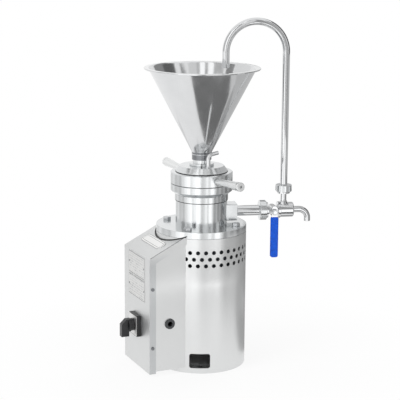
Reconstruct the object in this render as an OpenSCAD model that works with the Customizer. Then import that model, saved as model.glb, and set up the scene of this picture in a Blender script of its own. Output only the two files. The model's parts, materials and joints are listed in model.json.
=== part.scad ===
// Vertical colloid mill with hopper, return pipe and control box.
// Millimetres, +Z up. The origin is the centre of the housing's foot,
// +X points to the outlet line and -X to the control box.

/* [Shroud and base] */
// Outer diameter of the motor shroud and of the top flange
shroud_d = 200; // [190:1:230]
// Height of the motor shroud
shroud_h = 303; // [288:1:350]
// Sheet thickness of the motor shroud
shroud_wall = 2; // [1.5:0.5:3]
// Thickness of the base ring
base_t = 8; // [6:0.5:12]
// Diameter of the opening in the base ring
base_opening_d = 110; // [90:1:125]
// Pitch circle of the anchor holes
anchor_circle_d = 150; // [142:1:165]
// Diameter of the anchor holes
anchor_hole_d = 11; // [9:0.5:14]
// Number of anchor holes
anchor_count = 4; // [2:2:6]
// Turn of the anchor holes and windows from the outlet, degrees
anchor_turn = 65; // [58:1:70]
// Number of windows
window_count = 2; // [1:1:2]
// Width of the windows at the foot of the shroud
window_w = 46; // [36:1:52]
// Height of the windows
window_h = 33; // [24:1:40]
// Radius of the window corners
window_corner_r = 5; // [2:0.5:9]
// Strip of shroud left under a window, above the base ring
window_sill = 4; // [1:0.5:8]
// Diameter of the vent holes
vent_d = 9; // [6:0.5:11]
// Holes in one vent row
vent_count = 36; // [24:1:40]
// Number of vent rows
vent_rows = 3; // [1:1:4]
// Height between two vent rows
vent_row_pitch = 14.5; // [12:0.5:18]
// Turn of the upper vent row, degrees
vent_turn = 2; // [0:0.5:5]
// Distance from the shroud's top to the upper vent row
vent_drop = 30; // [22:1:40]

/* [Top flange] */
// Thickness of the top flange
flange_t = 15; // [10:1:20]
// Depth of the flange's spigot inside the shroud
spigot_h = 5; // [3:0.5:10]
// Thread diameter of the flange bolts
bolt_d = 10; // [8:1:12]
// Distance from the flange's edge to the middle of its bolts
bolt_edge = 18; // [16:0.5:20]
// Number of flange bolts
bolt_count = 4; // [3:1:8]

/* [Motor] */
// Outer diameter of the motor frame
frame_d = 144; // [136:1:146]
// Wall of the motor frame
frame_wall = 8; // [6:0.5:10]
// Length of the motor frame
frame_len = 185; // [170:1:195]
// Thickness of the frame's mounting ring
frame_ring_t = 12; // [8:1:16]
// Length of the laminated core
core_len = 90; // [70:1:100]
// Bore of the stator core
core_bore_d = 76; // [72:1:80]
// Air gap between the rotor and the stator of the motor
air_gap = 0.5; // [0.3:0.1:1]
// Number of winding slots
slot_count = 24; // [18:1:24]
// Width of a winding slot
slot_w = 5; // [4:0.2:6]
// Depth of a winding slot
slot_depth = 14; // [10:0.5:15]
// Overhang of the windings at each end of the core
winding_overhang = 22; // [16:1:28]
// Outer diameter of the upper bearing
upper_bearing_d = 62; // [60:1:66]
// Width of the upper bearing
upper_bearing_w = 16; // [14:1:18]
// Outer diameter of the lower bearing
lower_bearing_d = 52; // [50:1:56]
// Width of the lower bearing
lower_bearing_w = 15; // [13:1:17]
// Thickness of the lower end shield
shield_t = 12; // [9:1:15]
// Diameter of the cooling fan
fan_d = 136; // [120:1:150]
// Height of the fan blades
fan_h = 26; // [20:1:30]
// Number of fan blades
fan_blades = 8; // [6:1:10]

/* [Shaft] */
// Shaft diameter in the fan
fan_seat_d = 22; // [20:1:23]
// Shaft diameter in the lower bearing
lower_journal_d = 25; // [24:1:27]
// Shaft diameter in the rotor core
core_seat_d = 34; // [33:1:38]
// Shaft diameter in the upper bearing
upper_journal_d = 30; // [28:1:32]
// Shaft diameter in the shaft seal
seal_journal_d = 25; // [23:1:27]
// Shaft diameter in the mill rotor
rotor_seat_d = 20; // [17:1:22]
// Thread diameter of the shaft's end
stud_d = 16; // [12:1:16]

/* [Mill body] */
// Diameter of the milling chamber
chamber_d = 94; // [92:1:104]
// Wall of the mill body
body_wall = 10; // [9:0.5:14]
// Height of the mill body up to its shoulder
body_h = 55; // [54:1:66]
// Height of the shoulder
shoulder_h = 13; // [10:1:20]
// Step of the shoulder over the body
shoulder_step = 2; // [1:0.5:4]
// Wall of the threaded neck inside the rings
neck_wall = 7; // [6:0.5:9]
// Thickness of the chamber floor
floor_t = 10; // [8:0.5:12]
// Width of the square outlet boss
boss_w = 37; // [36:1:44]
// Length of the outlet boss beyond the body
boss_len = 21; // [18:1:30]
// Height of the boss above the flange
boss_lift = 6.5; // [3:0.5:8]

/* [Rings and handles] */
// Wall of the lock ring and the adjusting ring
ring_wall = 14.5; // [13:0.5:20]
// Height of the lock ring
lock_ring_h = 23; // [18:1:26]
// Chamfer height under the lock ring
lock_chamfer = 8; // [4:0.5:10]
// Gap between the two rings at rest
ring_lift = 1.4; // [1.3:0.1:3]
// Height of the adjusting ring
ring_h = 25; // [22:1:32]
// Length of an adjusting handle outside the ring
handle_len = 98; // [70:1:110]
// Diameter of a handle at the ring
handle_root_d = 12.5; // [10:0.5:15]
// Diameter of a handle at its tip
handle_tip_d = 19.5; // [14:0.5:22]
// Rise of the handles above level, degrees
handle_tilt = 3.5; // [0:0.5:8]
// Direction of the first handle from the outlet, degrees
handle_angle = -84.5; // [-100:0.5:-60]

/* [Milling parts] */
// Height of the mill rotor
rotor_h = 60; // [50:1:64]
// Half angle of the milling cone, degrees
mill_angle = 14; // [8:0.5:16]
// Radial gap between rotor and stator at rest
mill_gap = 0.5; // [0.4:0.05:1]
// Wall of the stator at the rotor's foot
stator_wall = 4.5; // [4:0.5:7]
// Height of the discharge space under the rotor
discharge_h = 20; // [18:1:24]
// Length of the rotor left bare under the stator
exit_land = 8; // [5:0.5:12]
// Thickness of the stator's flange
stator_flange_t = 5; // [4:0.5:7]
// Number of coarse teeth
coarse_teeth = 10; // [6:1:12]
// Number of fine teeth
fine_teeth = 36; // [24:1:40]
// Skew of the teeth, degrees
tooth_skew = 18; // [5:1:25]

/* [Cover and hopper] */
// Height of the cover
cover_h = 13; // [10:0.5:16]
// Overlap of the cover on the adjusting ring
cover_overlap = 3.5; // [2:0.5:6]
// Width of the cover's bevel
cover_bevel = 8.5; // [5:0.5:10]
// Diameter of the hopper collar's disc
collar_d = 54; // [50:1:56]
// Thickness of the hopper collar's disc
collar_t = 5; // [4:0.5:8]
// Height of the collar's hub
hub_h = 8; // [6:0.5:12]
// Diameter of the hopper's neck
neck_d = 43; // [40:1:48]
// Height of the hopper's neck
neck_h = 15; // [10:1:25]
// Feed bore of the hopper
feed_d = 25; // [20:1:26]
// Height of the hopper's cone
cone_h = 187; // [150:1:210]
// Half angle of the hopper's cone, degrees
cone_angle = 27.5; // [22:0.5:29]
// Sheet thickness of the hopper
hopper_sheet = 1.5; // [1:0.25:2.5]
// Width of the hopper's lip
lip_w = 8.5; // [5:0.5:14]
// Outer diameter of the cooling nipples
nipple_d = 8; // [6:0.5:9]
// Distance of the nipples from the axis
nipple_r = 34; // [33:0.5:36]
// Straight height of a nipple above the cover
nipple_rise = 17; // [12:1:25]

/* [Outlet line] */
// Turn of the outlet line from the X axis, degrees
outlet_turn = -15.5; // [-20:0.5:0]
// Outer diameter of the outlet pipe
pipe_d = 23; // [20:1:24]
// Bore of the outlet pipe
pipe_bore_d = 17; // [14:1:17]
// Length of the outlet pipe outside the boss
pipe_len = 56.5; // [50:0.5:95]
// Outer diameter of the outlet union nut
nut_d = 44; // [42:1:50]
// Length of the outlet union nut
nut_len = 15; // [13:1:20]
// Distance from the union to the valve's plug
plug_reach = 19.5; // [19:0.5:26]
// Diameter of the valve's neck
valve_neck_d = 18; // [17:0.5:20]
// Distance from the valve's plug to its barrel
barrel_reach = 10.5; // [10:0.5:24]
// Diameter of the valve's barrel
barrel_d = 33; // [30:1:34]
// Length of the valve's barrel
barrel_len = 36; // [34:1:60]
// Distance from the barrel's start to its branch
branch_offset = 14; // [13.5:0.5:20]
// Height of the branch above the pipe's axis
branch_h = 46; // [44:1:60]
// Diameter of the branch
branch_d = 13; // [12:0.5:15]
// Outer diameter of the return union nut
return_nut_d = 36; // [34:1:42]
// Height of the return union nut
return_nut_h = 15; // [13:1:20]
// Outer diameter of the spout
spout_d = 14; // [11:0.5:15]
// Straight length of the spout
spout_reach = 13; // [10:0.5:35]
// Bend radius of the spout
spout_bend_r = 20; // [18:1:30]
// Drop of the spout under its bend
spout_drop = 7; // [5:1:25]

/* [Valve lever] */
// Diameter of the valve's plug
plug_d = 15; // [14:0.5:16]
// Diameter of the plug's stem
stem_d = 10; // [9:0.5:11]
// Thickness of the lever strip
strip_t = 3; // [2:0.5:4]
// Width of the lever strip
strip_w = 12; // [11:0.5:15]
// Length of the strip above the stem
strip_top = 13; // [10:1:14]
// Distance from the stem to the grip
grip_start = 11; // [11:1:25]
// Length of the grip
grip_len = 92; // [80:1:115]
// Width of the grip
grip_w = 18; // [16:1:24]
// Thickness of the grip
grip_t = 8; // [7:0.5:12]

/* [Return pipe] */
// Outer diameter of the return pipe
return_d = 16; // [14:0.5:17]
// Wall of the return pipe
return_wall = 1.5; // [1:0.25:2.5]
// Bend radius of the return pipe
return_bend_r = 67; // [60:0.5:80]
// Height of the bend's centre above the hopper's rim
return_rise = 32; // [25:1:60]
// Depth of the pipe's end below the rim
dip_depth = 1; // [1:1:20]

/* [Control box] */
// Width of the control box
box_w = 148; // [130:1:154]
// Depth of the box in front of the shroud
box_depth = 54; // [48:1:70]
// Distance from the shroud's top edge down to the box's front edge
box_front_drop = 37.5; // [31:0.5:48]
// Slope of the box's top, degrees
box_slope = 26.5; // [15:0.5:28]
// Sheet thickness of the box
box_sheet = 1.5; // [1:0.25:2]
// Height of the lid's lower edge above the floor
lid_lift = 7.5; // [2:0.5:9]
// Height of the box's floor above the ground
box_lift = 12; // [10:1:18]
// Width of the lid's side flanges
lid_flange = 15; // [12:1:20]
// Distance from the box's front edge down to the upper lid screws
screw_drop = 67; // [45:0.5:100]
// Height of the lower lid screws
screw_low = 66; // [40:1:90]
// Width of the two data plates
plate_w = 94; // [70:1:110]
// Height of the upper data plate
plate_h = 50; // [30:1:52]
// Distance from the box's front edge down to the upper data plate's middle
plate_drop = 28.5; // [27.5:0.5:35]
// Distance between the middles of the two data plates
plate_pitch = 50.5; // [50:0.5:60]
// Length of the oval badge
badge_len = 98; // [70:1:110]
// Width of the oval badge
badge_w = 24; // [16:1:30]
// Height of the switch's middle
switch_z = 102.5; // [80:0.5:115]
// Width of the switch's bezel
bezel_w = 48; // [46:1:60]
// Depth of the switch's bezel
bezel_t = 9; // [6:0.5:12]
// Diameter of the knob's hub
knob_d = 28; // [24:1:34]
// Reach of the knob in front of the switch
knob_reach = 28; // [26:1:36]
// Depth of the knob's grip
knob_depth = 17.5; // [12:0.5:18]
// Length of the knob's grip below its axis
knob_down = 25; // [22:1:32]
// Length of the knob's grip above its axis
knob_up = 14; // [10:1:18]
// Width of the knob's grip
knob_w = 13; // [9:0.5:16]
// Diameter of the grommet's flange
grommet_d = 23; // [20:0.5:26]
// Cable bore of the grommet
grommet_bore_d = 11; // [8:0.5:12]
// Height of the grommet
grommet_z = 117; // [90:1:130]
// Distance from the box's front to the grommet
grommet_back = 48; // [35:1:55]

/* [Fits] */
// Radial clearance of fixed fits
fit_gap = 0.1; // [0.05:0.05:0.15]
// Radial clearance of running and sliding fits
run_gap = 0.05; // [0.02:0.01:0.08]
// Clearance of pieces that pass each other freely
free_gap = 0.3; // [0.2:0.05:0.4]

/* [Hidden] */
$fn = 64;

over = 1;
hex_sides = 6;

// Shroud and flange
shroud_r = shroud_d / 2;
shroud_ir = shroud_r - shroud_wall;
z_window = base_t + window_sill;
z_spigot = shroud_h - spigot_h;
z_flange = shroud_h + flange_t;
bolt_circle_d = 2 * (shroud_r - bolt_edge);
bolt_af = 1.6 * bolt_d;
bolt_head_h = 0.65 * bolt_d;
bolt_step = 360 / bolt_count;

// Motor, from the flange downwards
frame_r = frame_d / 2;
frame_ir = frame_r - frame_wall;
frame_ring_r = shroud_ir - 3;
z_frame = z_spigot - frame_len;
z_frame_ring = z_spigot - frame_ring_t;
z_core = z_frame + (frame_len - core_len) / 2 - 2;
core_r = frame_ir - fit_gap;
core_bore_r = core_bore_d / 2;
slot_lip = 3;
slot_mouth_w = 2.2;
slot_gap = 0.2;
rotor_core_r = core_bore_r - air_gap;
end_ring_h = 10;
end_ring_r = rotor_core_r - 2;
end_ring_ir = core_seat_d / 2 + 7;
bearing_lip = 2;
z_upper_bearing = shroud_h - bearing_lip - upper_bearing_w;
bearing_boss_r = upper_bearing_d / 2 + 9;
z_bearing_boss = z_upper_bearing - 2;
z_lower_bearing = z_frame - lower_bearing_w;
z_shield = z_frame - shield_t;
shield_lip = 4;
z_shield_boss = min(z_lower_bearing - shield_lip, z_shield);
shield_boss_r = lower_bearing_d / 2 + 8;
shield_spigot_h = 5;
shield_screw_d = 6;
shield_screw_r = (frame_r + frame_ir) / 2;
shield_screw_grip = 12;
shield_screw_count = 4;
fan_clear = 5;
z_fan = z_shield_boss - fan_clear - fan_h;
fan_hub_r = fan_seat_d / 2 + 7;
fan_sheet = 3;
fan_blade_pitch = 25;
ball_count = 9;

// Mill body and rings, from the flange upwards
chamber_r = chamber_d / 2;
body_r = chamber_r + body_wall;
shoulder_r = body_r + shoulder_step;
thread_r = chamber_r + neck_wall;
ring_r = thread_r + ring_wall;
z_floor = z_flange + floor_t;
z_axis = z_flange + boss_lift + boss_w / 2;
z_shoulder = z_flange + body_h;
z_lock = z_shoulder + shoulder_h;
z_lock_top = z_lock + lock_ring_h;
z_ring = z_lock_top + ring_lift;
z_ring_top = z_ring + ring_h;
ring_chamfer = 1.5;
head_gap = ring_lift + 0.1;
z_thread_top = z_ring_top - stator_flange_t - head_gap;
boss_round = 2.5;
pipe_socket = 14;
body_screw_d = 6;
body_screw_head_d = 10;
body_screw_head_h = 6;
body_screw_grip = 14;
body_screw_count = 6;
body_screw_r = chamber_r + body_wall / 2;
z_screw_seat = z_flange - 11;
pin_d = 5;
pin_r = chamber_r + neck_wall / 2;
pin_depth = 12;
pin_clear = 1.5;
handle_spot = 2;
handle_stub_d = 10;
handle_stub = 11;
handle_cap = 7;
handle_socket_d = 6;
handle_socket = 8;
z_handle = z_ring + ring_h / 2;

// Milling parts
stator_r = chamber_r - run_gap;
rotor_foot_r = stator_r - stator_wall - mill_gap;
z_rotor = z_floor + discharge_h;
z_rotor_top = z_rotor + rotor_h;
rotor_top_r = rotor_foot_r - rotor_h * tan(mill_angle);
z_stator = z_rotor + exit_land;
stator_in_r = rotor_top_r + mill_gap;
stator_spigot_wall = 2;
stator_spigot_h = 5;
stator_spigot_r = stator_in_r + stator_spigot_wall;
coarse_share = 0.42;
coarse_w = 6;
coarse_depth = 4;
fine_w = 3;
fine_depth = 2;
o_ring_d = 2.4;
o_ring_groove = 2.5;
o_ring_drop = 14;
seal_seat_d = seal_journal_d + 15;
seal_ring_d = seal_journal_d + 11;
seal_ring_h = 7;
spring_wire_d = 2.4;
spring_turns = 3;
spring_r = seal_journal_d / 2 + 3;
key_w = 5;
key_len = 30;
cap_r = stud_d / 2 + 6;
cap_flange = 6;
cap_h = 18;
stud_len = 12;

// Cover and hopper
cover_r = thread_r + cover_overlap;
cover_edge = 1.5;
z_cover_top = z_ring_top + cover_h;
jacket_h = 5;
jacket_w = 10;
jacket_ir = nipple_r - nipple_d / 2 + 1.5;
collar_spigot_r = feed_d / 2 + 6.5;
collar_spigot_h = 5.5;
hub_r = collar_spigot_r + 0.5;
z_collar = z_cover_top + collar_t;
z_hub = z_collar + hub_h;
hopper_spigot_r = feed_d / 2 + 2.5;
hopper_spigot_h = 10;
neck_floor = 3;
z_cone = z_hub + neck_h;
z_rim = z_cone + cone_h;
rim_r = neck_d / 2 + cone_h * tan(cone_angle);
lip_r = rim_r + lip_w;
lip_bead_r = 1.6;
cone_wall = hopper_sheet / cos(cone_angle);
nipple_wall = 1.5;
nipple_bend_r = 12;
nipple_turn = 80;
nipple_tail = 15;
nipple_lap = 1;
nipple_swell = 0.3;
nipple_foot_d = nipple_d + 3;
nipple_foot_h = 2.5;

// Outlet line, from the body outwards
x_boss = body_r + boss_len;
liner_t = 5;
gasket_t = 2;
nut_wall = 4;
nut_thread_r = pipe_d / 2 + 6;
x_liner = x_boss + pipe_len;
x_gasket = x_liner + liner_t;
x_valve = x_gasket + gasket_t;
valve_end = 8;
x_plug = x_valve + plug_reach;
plug_boss_d = plug_d + 7;
x_barrel = x_plug + barrel_reach;
x_branch = x_barrel + branch_offset;
x_barrel_end = x_barrel + barrel_len;
barrel_round = 3;
barrel_rim_w = 6;
barrel_rim_h = 2;
valve_bore_d = 9;
branch_bore_d = 9;
branch_foot_r = branch_d / 2 + 5.5;
branch_flare = 11;
spout_socket = 8;
spout_wall = 1.5;
x_spout_bend = x_barrel_end + spout_reach;
z_branch_top = z_axis + branch_h;
return_thread_r = return_d / 2 + 6;
z_return_liner = z_branch_top + gasket_t;
z_return_pipe = z_return_liner + liner_t;
nut_slots = 6;
nut_slot_w = 6;
nut_slot_depth = 2.5;

// Valve lever, measured towards the front
plug_back = 12;
plug_front = 14;
plug_boss_front = 17.5;
plug_boss_back = 14;
gland_h = 4;
gland_af = stem_d + 8;
strip_front = plug_boss_front + gland_h + 1;
stud_tip_d = 8;
lever_nut_h = 5;
lever_nut_af = 13;
grip_overlap = 18;
grip_round = 3.5;

// Return pipe
x_dip = x_branch - 2 * return_bend_r;
x_bend = x_branch - return_bend_r;
z_bend = z_rim + return_rise;
z_dip = z_rim - dip_depth;

// Control box
box_x = shroud_r + box_depth;
box_front_h = shroud_h - box_front_drop;
screw_high = box_front_h - screw_drop;
plate_z = box_front_h - plate_drop;
plate_low_z = plate_z - plate_pitch;
lid_half = box_w / 2;
side_half = lid_half - box_sheet - fit_gap;
lid_screw_d = 4;
lid_screw_head_d = 7.5;
lid_screw_head_h = 2;
lid_screw_len = 7;
lid_screw_back = lid_flange / 2;
plate_low_h = plate_h - 2;
plate_t = 0.8;
badge_t = 1;
badge_back = 2.5;
rivet_d = 4;
rivet_h = 0.8;
rivet_inset = 4;
bezel_round = 4;
face_w = bezel_w - 4;
face_t = 1;
spindle_d = 8;
block_w = 44;
block_len = 38;
block_bore = 24;
knob_hub_h = 12;
knob_bore = 9;
terminal_len = 62;
terminal_w = 20;
terminal_h = 24;
terminal_ways = 6;
grommet_lip = 3;
return_flange_w = 12;

// Box profile: height of the top sheet's upper side at a distance x in front of the axis
function slope_z(x) = box_front_h + (box_x - x) * tan(box_slope);

// Rotor radius at a height
function mill_r(z) = rotor_foot_r - (z - z_rotor) * tan(mill_angle);

module along_x() { rotate([0, 90, 0]) children(); }

module to_front() { rotate([90, 0, 0]) children(); }

module on_outlet() { rotate([0, 0, outlet_turn]) children(); }

module tube(outer_r, inner_r, h) {
    difference() {
        cylinder(r = outer_r, h = h);
        translate([0, 0, -over]) cylinder(r = inner_r, h = h + 2 * over);
    }
}

module hexagon(across_flats, h) {
    cylinder(d = across_flats / cos(180 / hex_sides), h = h, $fn = hex_sides);
}

module rounded_square(w, h, r) {
    square([w - 2 * r, h], center = true);
    square([w, h - 2 * r], center = true);
    for (x = [-1, 1], y = [-1, 1]) translate([x * (w / 2 - r), y * (h / 2 - r)]) circle(r);
}

module round_bar(r, h, fillet) {
    rotate_extrude() {
        square([r - fillet, h]);
        translate([0, fillet]) square([r, h - 2 * fillet]);
        for (z = [fillet, h - fillet]) translate([r - fillet, z]) circle(fillet);
    }
}

module around(count, start = 0) {
    for (i = [0 : count - 1]) rotate([0, 0, start + i * 360 / count]) children();
}

// Round union nut with spanner slots, its closed end at z = 0
module slotted_nut(d, h, thread_r, pipe_r) {
    difference() {
        round_bar(d / 2, h, 1.2);
        translate([0, 0, -over]) cylinder(r = pipe_r, h = h);
        translate([0, 0, nut_wall]) cylinder(r = thread_r, h = h);
        around(nut_slots)
            translate([d / 2 - nut_slot_depth, -nut_slot_w / 2, nut_wall / 2])
                cube([2 * nut_slot_depth, nut_slot_w, h]);
    }
}

/* Stand and motor housing */

module base_ring() {
    color("silver") difference() {
        tube(shroud_ir - fit_gap, base_opening_d / 2, base_t);
        around(anchor_count, anchor_turn)
            translate([anchor_circle_d / 2, 0, -over]) cylinder(d = anchor_hole_d, h = base_t + 2 * over);
    }
}

module window_outline() {
    translate([0, window_h / 2]) rounded_square(window_w, window_h, window_corner_r);
}

module motor_shroud() {
    color("lightgray") difference() {
        tube(shroud_r, shroud_ir, shroud_h);
        around(window_count, anchor_turn + 180)
            translate([shroud_ir - shroud_r / 4, 0, z_window])
                rotate([90, 0, 90]) linear_extrude(shroud_r / 2) window_outline();
        for (row = [0 : vent_rows - 1])
            translate([0, 0, shroud_h - vent_drop - row * vent_row_pitch])
                around(vent_count, vent_turn + (row % 2) * 180 / vent_count)
                    translate([shroud_ir - over, 0, 0]) along_x()
                        cylinder(d = vent_d, h = shroud_wall + 2 * over);
    }
}

module top_flange() {
    color("gainsboro") difference() {
        union() {
            translate([0, 0, shroud_h]) round_bar(shroud_r, flange_t, 1);
            translate([0, 0, z_spigot]) cylinder(r = shroud_ir - fit_gap, h = spigot_h);
            translate([0, 0, z_bearing_boss]) cylinder(r = bearing_boss_r, h = shroud_h - z_bearing_boss);
        }
        translate([0, 0, z_bearing_boss - over])
            cylinder(r = upper_bearing_d / 2 + run_gap,
                h = z_upper_bearing + upper_bearing_w - z_bearing_boss + over);
        cylinder(d = upper_journal_d + 3, h = z_flange + over);
        around(bolt_count, bolt_step / 2)
            translate([bolt_circle_d / 2, 0, z_spigot - over])
                cylinder(d = bolt_d + 2 * fit_gap, h = z_flange);
        around(body_screw_count, 180 / body_screw_count) translate([body_screw_r, 0, z_spigot - over]) {
            cylinder(d = body_screw_d + 2 * fit_gap, h = z_flange);
            cylinder(d = body_screw_head_d + 2 * free_gap, h = z_screw_seat - z_spigot + over);
        }
    }
}

module flange_bolts() {
    color("silver") around(bolt_count, bolt_step / 2) translate([bolt_circle_d / 2, 0, 0]) {
        translate([0, 0, z_frame_ring]) cylinder(d = bolt_d, h = z_flange - z_frame_ring);
        translate([0, 0, z_flange]) hexagon(bolt_af, bolt_head_h);
    }
}

/* Motor */

module motor_frame() {
    color("slategray") difference() {
        union() {
            translate([0, 0, z_frame]) cylinder(r = frame_r, h = frame_len);
            translate([0, 0, z_frame_ring]) cylinder(r = frame_ring_r, h = frame_ring_t);
        }
        translate([0, 0, z_frame - over]) cylinder(r = frame_ir, h = frame_len + 2 * over);
        around(bolt_count, bolt_step / 2)
            translate([bolt_circle_d / 2, 0, z_frame_ring - over])
                cylinder(d = bolt_d + 2 * fit_gap, h = frame_ring_t + 2 * over);
        around(shield_screw_count)
            translate([shield_screw_r, 0, z_frame - over])
                cylinder(d = shield_screw_d + 2 * fit_gap, h = shield_screw_grip + over);
    }
}

module slot_outline(gap) {
    slot_start = core_bore_r + slot_lip + gap;
    translate([slot_start, -slot_w / 2 + gap]) square([slot_depth - 2 * gap, slot_w - 2 * gap]);
}

module stator_core() {
    color("dimgray") translate([0, 0, z_core]) linear_extrude(core_len) difference() {
        circle(core_r);
        circle(core_bore_r);
        around(slot_count) {
            slot_outline(0);
            translate([core_bore_r - over, -slot_mouth_w / 2]) square([slot_lip + 2 * over, slot_mouth_w]);
        }
    }
}

module windings() {
    coil_ir = core_bore_r + slot_lip + slot_gap;
    coil_w = slot_depth - 2 * slot_gap;
    color("chocolate") {
        translate([0, 0, z_core - winding_overhang / 2]) linear_extrude(core_len + winding_overhang)
            around(slot_count) slot_outline(slot_gap);
        for (z = [z_core - winding_overhang, z_core + core_len + slot_gap])
            translate([0, 0, z]) rotate_extrude()
                translate([coil_ir + coil_w / 2, (winding_overhang - slot_gap) / 2])
                rounded_square(coil_w, winding_overhang - slot_gap, 3);
    }
}

module lower_end_shield() {
    color("slategray") difference() {
        union() {
            translate([0, 0, z_shield]) cylinder(r = frame_r, h = shield_t);
            translate([0, 0, z_frame]) cylinder(r = frame_ir - fit_gap, h = shield_spigot_h);
            translate([0, 0, z_shield_boss]) cylinder(r = shield_boss_r, h = z_frame - z_shield_boss);
        }
        translate([0, 0, z_lower_bearing])
            cylinder(r = lower_bearing_d / 2 + run_gap, h = lower_bearing_w + shield_spigot_h + over);
        translate([0, 0, z_shield_boss - over]) cylinder(d = lower_journal_d + 3, h = z_frame);
        around(shield_screw_count)
            translate([shield_screw_r, 0, z_shield - over])
                cylinder(d = shield_screw_d + 2 * fit_gap, h = shield_t + 2 * over);
    }
}

module shield_screws() {
    color("silver") around(shield_screw_count) translate([shield_screw_r, 0, z_shield]) {
        cylinder(d = shield_screw_d, h = shield_t + shield_screw_grip - over);
        translate([0, 0, -shield_screw_d]) hexagon(1.6 * shield_screw_d, shield_screw_d);
    }
}

function pitch_r(od, id) = (od + id) / 4;
function ball_r(od, id) = 0.15 * (od - id);

module race(od, id, w, inner_r, outer_r) {
    rotate_extrude() difference() {
        translate([inner_r, 0]) square([outer_r - inner_r, w]);
        translate([pitch_r(od, id), w / 2]) circle(ball_r(od, id) + run_gap);
    }
}

module outer_race(od, id, w) { race(od, id, w, pitch_r(od, id) + ball_r(od, id) / 2, od / 2); }

module inner_race(od, id, w) { race(od, id, w, id / 2 + run_gap, pitch_r(od, id) - ball_r(od, id) / 2); }

module balls(od, id, w) {
    around(ball_count) translate([pitch_r(od, id), 0, w / 2]) sphere(ball_r(od, id));
}

module bearing_outer_rings() {
    color("silver") {
        translate([0, 0, z_upper_bearing]) outer_race(upper_bearing_d, upper_journal_d, upper_bearing_w);
        translate([0, 0, z_lower_bearing]) outer_race(lower_bearing_d, lower_journal_d, lower_bearing_w);
    }
}

module bearing_inner_rings() {
    color("silver") {
        translate([0, 0, z_upper_bearing]) inner_race(upper_bearing_d, upper_journal_d, upper_bearing_w);
        translate([0, 0, z_lower_bearing]) inner_race(lower_bearing_d, lower_journal_d, lower_bearing_w);
    }
}

module bearing_balls() {
    color("white") {
        translate([0, 0, z_upper_bearing]) balls(upper_bearing_d, upper_journal_d, upper_bearing_w);
        translate([0, 0, z_lower_bearing]) balls(lower_bearing_d, lower_journal_d, lower_bearing_w);
    }
}

module main_shaft() {
    z_stud = z_rotor_top + stud_len;
    color("gainsboro") difference() {
        union() {
            translate([0, 0, z_fan]) cylinder(d = fan_seat_d, h = z_lower_bearing - z_fan);
            translate([0, 0, z_lower_bearing]) cylinder(d = lower_journal_d, h = lower_bearing_w);
            translate([0, 0, z_frame]) cylinder(d = core_seat_d, h = z_upper_bearing - z_frame);
            translate([0, 0, z_upper_bearing])
                cylinder(d = upper_journal_d, h = shroud_h - z_upper_bearing);
            translate([0, 0, shroud_h]) cylinder(d = seal_journal_d, h = z_rotor - shroud_h);
            translate([0, 0, z_rotor]) cylinder(d = rotor_seat_d, h = rotor_h);
            translate([0, 0, z_rotor_top]) cylinder(d = stud_d, h = z_stud - z_rotor_top);
        }
        key_cut();
    }
}

module key_cut() { key_bar(fit_gap); }

module key_bar(gap) {
    translate([rotor_seat_d / 2 - key_w / 2 - gap, -key_w / 2 - gap,
        z_rotor_top - rotor_h / 2 - key_len / 2 - gap])
        cube([key_w + 2 * gap, key_w + 2 * gap, key_len + 2 * gap]);
}

module rotor_key() { color("gray") key_bar(0); }

module rotor_core() {
    color("dimgray") difference() {
        union() {
            translate([0, 0, z_core]) cylinder(r = rotor_core_r, h = core_len);
            for (z = [z_core - end_ring_h, z_core + core_len]) translate([0, 0, z])
                tube(end_ring_r, end_ring_ir, end_ring_h);
        }
        cylinder(d = core_seat_d + 2 * fit_gap, h = z_flange);
    }
}

module cooling_fan() {
    color("black") difference() {
        union() {
            translate([0, 0, z_fan]) cylinder(r = fan_hub_r, h = fan_h);
            translate([0, 0, z_fan + fan_h - fan_sheet]) cylinder(d = fan_d, h = fan_sheet);
            around(fan_blades)
                translate([fan_hub_r - fan_sheet, -fan_sheet / 2, z_fan])
                    cube([fan_d / 2 - fan_hub_r, fan_sheet, fan_h]);
        }
        cylinder(d = fan_seat_d + 2 * fit_gap, h = z_flange);
    }
}

/* Mill */

module mill_body() {
    color("gainsboro") difference() {
        union() {
            translate([0, 0, z_flange]) cylinder(r = body_r, h = body_h);
            translate([0, 0, z_shoulder]) cylinder(r = shoulder_r, h = shoulder_h);
            translate([0, 0, z_lock]) cylinder(r = thread_r, h = z_thread_top - z_lock);
            on_outlet() translate([0, 0, z_axis]) along_x() linear_extrude(x_boss)
                rounded_square(boss_w, boss_w, boss_round);
        }
        translate([0, 0, z_floor]) cylinder(r = chamber_r, h = z_thread_top);
        translate([0, 0, z_flange - over]) cylinder(d = seal_seat_d, h = z_thread_top);
        on_outlet() translate([0, 0, z_axis]) along_x() cylinder(d = pipe_bore_d, h = x_boss + over);
        on_outlet() translate([x_boss - pipe_socket, 0, z_axis]) along_x()
            cylinder(d = pipe_d + 2 * fit_gap, h = pipe_socket + over);
        around(body_screw_count, 180 / body_screw_count)
            translate([body_screw_r, 0, z_flange - over])
                cylinder(d = body_screw_d + 2 * fit_gap, h = body_screw_grip + 2 * over);
        guide_pin_holes(fit_gap);
    }
}

module body_screws() {
    color("silver") around(body_screw_count, 180 / body_screw_count)
        translate([body_screw_r, 0, z_screw_seat]) {
        cylinder(d = body_screw_d, h = z_flange - z_screw_seat + body_screw_grip);
        translate([0, 0, -body_screw_head_h]) cylinder(d = body_screw_head_d, h = body_screw_head_h);
    }
}

module guide_pin_holes(gap) {
    around(2, 90) translate([pin_r, 0, z_thread_top - pin_depth])
        cylinder(d = pin_d + 2 * gap, h = z_cover_top);
}

module guide_pins() {
    color("silver") around(2, 90) translate([pin_r, 0, z_thread_top - pin_depth])
        cylinder(d = pin_d, h = pin_depth + head_gap + stator_flange_t - pin_clear);
}

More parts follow.
